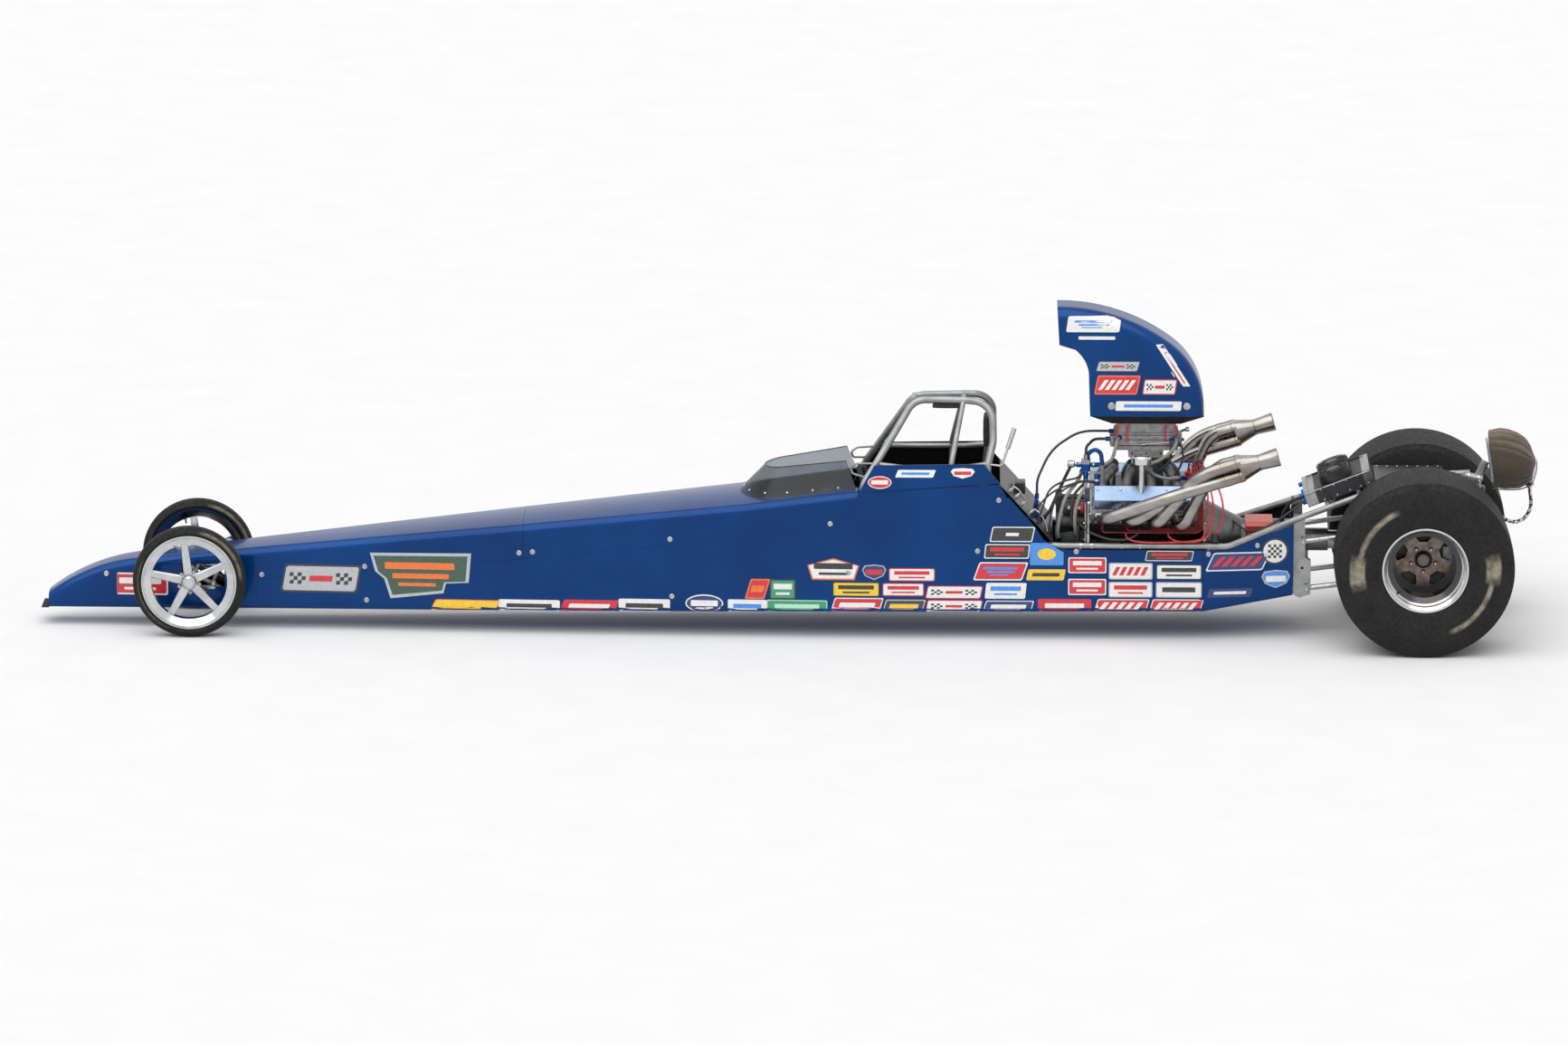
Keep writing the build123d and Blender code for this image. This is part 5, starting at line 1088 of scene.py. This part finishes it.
# Hoses and cables over the engine. Columns: material, radius, points, in mm.
ENGINE_RUNS = """
steel_braid 8.5  1492 -118 828  1527 -135 833  1563 -150 862  1580 -150 915  1590 -125 950  1602 -94 958
steel_braid 8.5  1868 -93 960  1874 -125 947  1860 -152 918  1830 -166 888  1790 -166 862  1745 -150 838 \
    1722 -112 800  1714 -72 775
steel_braid 8  1735 -72 802  1755 -115 792  1790 -148 779  1832 -158 771  1872 -146 772  1900 -122 768
steel_braid 9  1440 -130 762  1436 -165 728  1408 -196 684  1390 -204 618  1388 -200 550  1395 -176 500 \
    1400 -150 480
steel_braid 9  1424 -100 800  1400 -140 752  1345 -186 685  1318 -200 600  1306 -196 520  1312 -176 470
hose 5.5  1886 -90 930  1902 -104 912  1906 -115 868  1893 -116 820  1870 -110 780  1852 -104 716
hose 5  1208 -240 569  1232 -232 640  1266 -205 722  1331 -172 757  1400 -146 772  1432 -132 806
hose 5  1262 -222 510  1272 -214 594  1300 -200 688  1353 -180 730  1418 -158 752  1500 -140 742 \
    1540 -130 716.5
hose 4.5  1190 -215 589  1222 -210 655  1287 -190 712  1366 -168 742  1430 -150 756  1505 -128 742 \
    1560 -118 716.5
hose 6  1404 -186 560  1452 -258 532  1545 -284 502  1636 -284 500  1690 -270 525  1700 -246 545
red_lead 4.2  1972 0 786  2000 -50 812  2052 -140 772  2092 -215 690  2098 -252 610  2078 -266 545 \
    2062 -266 522
red_lead 4.2  1985 -20 786  2004 -80 800  2034 -170 742  2052 -238 656  2046 -268 570  2020 -282 510 \
    1960 -288 489  1880 -287 492  1840 -281 512  1835 -266 530
red_lead 4.2  1990 -10 786  2012 -100 792  2024 -190 720  2026 -250 620  2012 -276 530  1970 -290 496 \
    1800 -291 486  1690 -289 489  1640 -284 506  1632 -268 530
blue_anodised 10.5  1450 -118 855  1452 -122 884  1482 -134 905  1510 -138 888  1517 -138 842
steel_braid 8.5  1517 -138 850  1519 -138 800  1520 -134 716
hose 5  2150 -60 545  2230 -190 520  2330 -215 560  2440 -190 632  2500 -150 672
"""
# Collars and fittings. Columns: material, radius, start, end, in mm.
ENGINE_FITTINGS = """
blue_anodised 12.5  1440 -130 800  1440 -130 756
blue_anodised 15  1440 -130 790  1440 -130 776
blue_anodised 11  1460 -118 828  1500 -118 828
steel 13.5  1470 -118 828  1482 -118 828
blue_anodised 13  1492 -215 724  1492 -215 806
steel 15.5  1492 -215 768  1492 -215 780
blue_anodised 11.5  1890 -136 770  1922 -96 762
blue_anodised 11  1596 -106 956  1608 -80 960
blue_anodised 11  1868 -110 956  1868 -84 962
steel 7  1386 -118 832  1420 -118 832
steel 17.5  1352 -118 832  1386 -118 832
steel 4.5  1452 -262 671  1452 -262 482
steel 10  1446 -262 671  1462 -262 671
steel 8.5  1452 -262 520  1452 -262 478
red_lead 34  1366 -112 612  1388 -112 612
red_lead 30  1416 -112 612  1435 -112 612
steel 12  1352 -112 612  1436 -112 612
black 19  2062 -266 484  2062 -266 524
steel 6  1900 -60 985  1926 -96 1002
steel 11  1918 -102 1002  1936 -102 1002
steel 24  1560 -70 716  1560 -70 790
steel 28  1560 -70 784  1560 -70 796
steel 10  1560 -70 770  1500 -85 776
"""


def make_engine_runs():
    bms = {material: bmesh.new() for material in ENGINE_PIECES}
    for material, *numbers in rows(ENGINE_RUNS):
        radius, *flat = metres(numbers)
        points = [Vector(flat[n:n + 3]) for n in range(0, len(flat), 3)]
        run(bms[material], points, radius, 12)
        ends = [(a, (b - a).normalized()) for a, b in (points[:2], points[:-3:-1])]
        if material == "steel_braid":
            for spot, ahead in ends:
                rod(bms["blue_anodised"], spot - ahead * 0.004, spot + ahead * 0.018, radius + 0.0028, 6)
        if material == "red_lead":
            spot, ahead = ends[0]
            rod(bms["red_lead"], off(spot, 0, 0, -0.004), spot + ahead * 0.016, 0.0065, 12)
    for material, *numbers in rows(ENGINE_FITTINGS):
        radius, *flat = metres(numbers)
        rod(bms[material], flat[:3], flat[3:], radius, 20, 0.2)
    for side in SIDES:
        y = side * 0.0985
        for x in (1.59, 1.6373, 1.8207, 1.868):
            # The carburettor's studs, their nuts and their lugs.
            rod(bms["red_lead"], (x, y, 0.936), (x, y, 1.026), 0.0046, 12)
            for z in (0.93, 1.024):
                rod(bms["steel"], (x, y, z), (x, y, z + 0.008), 0.0066, 6)
            near, far = sorted((y, side * 0.09))
            slab(bms["steel"], (x - 0.006, near, 0.931), (x + 0.006, far, 0.936), 0.001)
    for material, name in ENGINE_PIECES.items():
        piece(name, bms[material], material)


def oblong(x0, x1, half, corner, steps=5):
    found = []
    for cx, cy, start in ((x1 - corner, half - corner, 0), (x0 + corner, half - corner, 90),
                          (x0 + corner, corner - half, 180), (x1 - corner, corner - half, 270)):
        for turn in [math.radians(start + 90 * n / steps) for n in range(steps + 1)]:
            found.append((cx + corner * math.cos(turn), cy + corner * math.sin(turn)))
    return found


def make_carburettor_detail():
    dark, bright = meshes(2)
    for z, rise in ((0.9165, 0.004), (0.946, 0.003), (0.969, 0.003)):
        prism(dark, oblong(1.5725, 1.8855, 0.0965, 0.0232), z, z + rise)
    for side in SIDES:
        for x in (1.652, 1.7, 1.757, 1.805):
            bolt(bright, (x, side * 0.0952, 0.957), (0, side, 0), 0.0045, 0.004)
        for x in (1.662, 1.8, 1.731):
            disc(dark, (x, side * 0.0832, 0.877), (0, side, 0), 0.0052, 0.0005, 16)
        prism(bright, [(x, side * y) for x, y in ((1.69, 0.0955), (1.742, 0.0955), (1.742, 0.101), (1.69, 0.101))],
              0.9, 0.914, 0.001)
        for x, far, z, radius in ((1.7, 0.108, 0.925, 0.006), (1.735, 0.108, 0.932, 0.006),
                                  (1.86, 0.109, 0.94, 0.0055)):
            rod(bright, (x, side * 0.094, z), (x, side * far, z), radius, 12)
        rod(bright, (1.7, side * 0.105, 0.925), (1.86, side * 0.105, 0.94), 0.0028, 8)
    for x, way in ((1.558, -1), (1.9, 1)):
        for y in (-0.052, 0, 0.052):
            for z in (0.918, 0.95):
                bolt(bright, (x, y, z), (way, 0, 0), 0.0042, 0.004)
        rod(bright, (x - way * 0.004, -0.03, 0.935), (x + way * 0.014, -0.03, 0.935), 0.0085, 6)
    piece("carburettor_seams", dark, "black")
    piece("carburettor_linkage", bright, "steel")


def make_intake_detail():
    # Runners from the plenum to the heads, with their flange bolts.
    dark, bolts = meshes(2)
    for side in SIDES:
        for x in BANK_PORTS:
            lean = (1.724 - x) * 0.3
            run(dark, [(x + lean, side * 0.045, 0.8), (x + lean * 0.6, side * 0.078, 0.782), (x, side * 0.115, 0.742),
                       (x, side * 0.145, 0.712)], 0.0235, 14, 5)
        for x in (1.508, 1.579, 1.697, 1.815, 1.92):
            bolt(bolts, (x, side * 0.128, 0.7178), (0, 0, 1), 0.0055, 0.006)
        for x in (1.66, 1.8):
            bolt(bolts, (x, side * 0.062, 0.8575), (0, 0, 1), 0.005, 0.004)
    piece("intake_runners", dark, "dark_cast")
    piece("intake_bolts", bolts, "steel")


# Rear: the cooler's fan guards, bolts and pipes, and small rods
TILT = math.atan2(0.122, 0.315)


def on_cooler(u, y, w):
    return Vector((2.5 + u * math.cos(TILT) - w * math.sin(TILT), y, 0.67 + u * math.sin(TILT) + w * math.cos(TILT)))


def make_cooler_detail():
    wires, steel, blue = meshes(3)
    up = on_cooler(0, 0, 1) - on_cooler(0, 0, 0)
    for side in SIDES:
        def fan_line(turn, w, *bends):
            # From a fan's hub outwards. Bends: radius, angle ahead of the turn.
            return [on_cooler(0.169 + r * math.cos(turn + t), side * 0.084 + r * math.sin(turn + t), w)
                    for r, t in bends]

        for radius in (0.034, 0.045, 0.056, 0.067, 0.077):
            torus(wires, on_cooler(0.169, side * 0.084, 0.0835), up, radius, 0.0011, 40, 6)
        for n in range(10):
            run(wires, fan_line(math.pi * n / 5, 0.0835, (0.03, 0), (0.05, 0.22), (0.07, 0.3), (0.0785, 0.3)), 0.0012,
                6, 3)
        spin(wires, on_cooler(0.169, side * 0.084, 0.082), up,
             [(0, 0.031), (0.003, 0.03), (0.004, 0.024), (0.0035, 0)], 32)
        hub = on_cooler(0.169, side * 0.084, 0.052)
        for n in range(7):
            blade = fan_line(2 * math.pi * n / 7, 0.052, (0.032, 0), (0.052, 0.1), (0.071, 0.25))
            strap(wires, blade, 0.034, 0.0016, 3, across=up + (blade[1] - hub).cross(up).normalized() * 0.9)
        for u in (0.03, 0.085, 0.15, 0.215, 0.27, 0.312):
            for w in (-0.028, 0.026):
                bolt(steel, on_cooler(u, side * 0.1732, w), (0, side, 0), 0.0042, 0.004)
        rod(steel, on_cooler(0.004, side * 0.1747, 0.031), on_cooler(0.334, side * 0.1747, 0.031), 0.0032, 8)
        for w in (0.018, -0.018):
            rod(blue, on_cooler(0.022, side * 0.12, w), on_cooler(-0.022, side * 0.12, w), 0.0125, 6)
        pipe = ((0.1, 0.14, 0.046), (0.094, 0.172, 0.044), (0.092, 0.1785, 0.024), (0.108, 0.1785, -0.01),
                (0.118, 0.1785, -0.034), (0.122, 0.16, -0.046))
        run(wires, [on_cooler(u, side * y, w) for u, y, w in pipe], 0.0026, 8)
    piece("fan_guards", wires, "black")
    piece("cooler_bolts", steel, "steel")
    piece("cooler_fittings", blue, "blue_anodised")


def make_rear_detail():
    steel, dark = meshes(2)
    for side in SIDES:
        for x in [2.85 + 0.049 * n for n in range(7)]:
            rivet(steel, (x, side * 0.154, 0.77), (0, 0, 1), 0.0052)
            rivet(steel, (x, side * 0.1562, 0.75), (0, side, 0), 0.0052)
        for x, z in ((2.485, 0.473), (2.504, 0.243)):
            bolt(steel, (x, side * 0.2172, z), (0, side, 0), 0.011, 0.009)
            bolt(steel, (x, side * 0.1728, z), (0, -side, 0), 0.011, 0.009)
        for x in (2.99, 3.057, 3.124):
            rod(steel, (x, side * 0.31, 0.47), (x, side * 0.322, 0.47), 0.005, 6)
    for x in (2.86, 2.93, 3.0, 3.07, 3.14):
        slab(dark, (x, -0.14, 0.7698), (x + 0.012, 0.14, 0.772), 0.0008)
    rod(steel, (3.29, -0.1, 0.7375), (3.334, -0.1, 0.727), 0.006, 12)
    rod(steel, (3.334, -0.1, 0.703), (3.334, -0.1, 0.757), 0.007, 12)
    torus(steel, (3.205, -0.1, 0.786), (0, 1, 0), 0.015, 0.0042, 28)
    rod(steel, (3.204, -0.1, 0.7375), (3.205, -0.1, 0.772), 0.0046, 10)
    for x, z in ((3.281, 0.7661), (3.33, 0.7561)):
        clamp(steel, (x, -0.052, z), (0.98, 0, -0.2), 0.0203)
    for turn in [math.pi * n / 4 for n in range(8)]:
        bolt(steel, (2.8165, 0.064 * math.cos(turn), 0.43 + 0.064 * math.sin(turn)), (-1, 0, 0), 0.0055, 0.006)
    piece("rear_fasteners", steel, "steel")
    piece("cover_ribs", dark, "black")


WALL_OUT = Vector((0.277, 0, 0.253)).normalized()


def on_wall(x, y, out=0.0):
    # A point on the firewall, or out from it.
    return Vector((x, y, 0.764 - (x - 1.03) * 0.277 / 0.253)) + WALL_OUT * out


def make_firewall_detail():
    steel, dark = meshes(2)
    for side in SIDES:
        for n in range(8):
            rivet(steel, on_wall(1.05 + 0.03 * n, side * 0.272), WALL_OUT, 0.0045)
    for x, y in ((1.072, -0.222), (1.1, -0.222), (1.132, -0.222), (1.172, -0.215)):
        rod(steel, on_wall(x, y, -0.001), on_wall(x, y, 0.024), 0.0085, 6)
        rod(steel, on_wall(x, y, 0.02), on_wall(x, y, 0.034), 0.006, 12)
        torus(steel, on_wall(x, y, 0.01), WALL_OUT, 0.01, 0.0022, 20)
    for radius, *points in (
            (0.0042, (1.066, -0.226, 0.03), (1.085, -0.236, 0.04), (1.11, -0.232, 0.036), (1.134, -0.224, 0.03)),
            (0.005, (1.172, -0.215, 0.03), (1.195, -0.222, 0.036), (1.23, -0.23, 0.024), (1.252, -0.232, 0.004))):
        run(steel, [on_wall(*point) for point in points], radius)
    for y in (-0.12, -0.06, 0.06, 0.12):
        torus(dark, on_wall(1.205, y, 0.002), WALL_OUT, 0.014, 0.004, 24)
        spin(dark, on_wall(1.205, y), WALL_OUT, [(0, 0.013), (0.003, 0.012), (0.003, 0)])
    slab(dark, off(on_wall(1.12, -0.05), -0.02), off(on_wall(1.12, 0.05), 0.03, 0, 0.055), 0.004)
    piece("firewall_fittings", steel, "steel")
    piece("firewall_grommets", dark, "black")


def make_rail_clamps():
    bm = bmesh.new()
    for side in SIDES:
        for x in (1.417, 1.469, 1.613, 1.7):
            clamp(bm, (x, side * 0.277, 0.464), (1, 0, 0), 0.0152, 0.014)
    piece("rail_clamps", bm, "steel")


# The floor, the backdrop's light on the car, and a wide soft sun
FLOOR_HALF, BACKDROP_LIGHT = 60, 0.52
SUN_ENERGY, SUN_ANGLE, SUN_TURN = 2.1, 1.3, (0.42, -0.15, 0)


def make_stage():
    mesh = bpy.data.meshes.new("floor")
    corners = [(u * FLOOR_HALF, v * FLOOR_HALF, 0) for u, v in ((-1, -1), (1, -1), (1, 1), (-1, 1))]
    mesh.from_pydata(corners, [], [(0, 1, 2, 3)])
    look = Look("floor", (0.86, 0.86, 0.86), 0.9)
    look.link(look.mix(look.grain(3), (0.85, 0.85, 0.85), (0.87, 0.87, 0.87)))
    mesh.materials.append(MATERIALS["floor"])
    new_object("floor", mesh)


def make_light():
    # The backdrop is white to the camera, to metal and to glass, and lights the car at half of that.
    world = bpy.context.scene.world = bpy.data.worlds.new("world")
    world.use_nodes = True
    nodes = Nodes(world.node_tree)
    path = nodes.add("LightPath")
    seen = nodes.calc("MAXIMUM", path["Is Camera Ray"],
                      nodes.calc("MAXIMUM", path["Is Glossy Ray"], path["Is Transmission Ray"]))
    back = nodes.tree.nodes["Background"].inputs
    back["Color"].default_value = (1, 1, 1, 1)
    nodes.tree.links.new(nodes.ramp(seen, 0, 1, BACKDROP_LIGHT, 1.0), back["Strength"])
    sun = bpy.data.lights.new("sun", "SUN")
    sun.energy, sun.angle = SUN_ENERGY, SUN_ANGLE
    new_object("sun", sun).rotation_euler = SUN_TURN


for make in (make_camera, make_materials, make_tether, make_patches, make_fasteners, make_bag,
             make_bag_trim, make_pads, make_seat_trim, make_gauges, make_grip, make_screen_trim,
             make_rear_wheel_trim, make_front_wheel_trim, make_engine_bolts, make_weld_rings,
             make_engine_runs, make_carburettor_detail, make_intake_detail, make_cooler_detail,
             make_rear_detail, make_firewall_detail, make_rail_clamps, make_stage, make_light):
    make()
bpy.context.scene.view_settings.view_transform = "Standard"
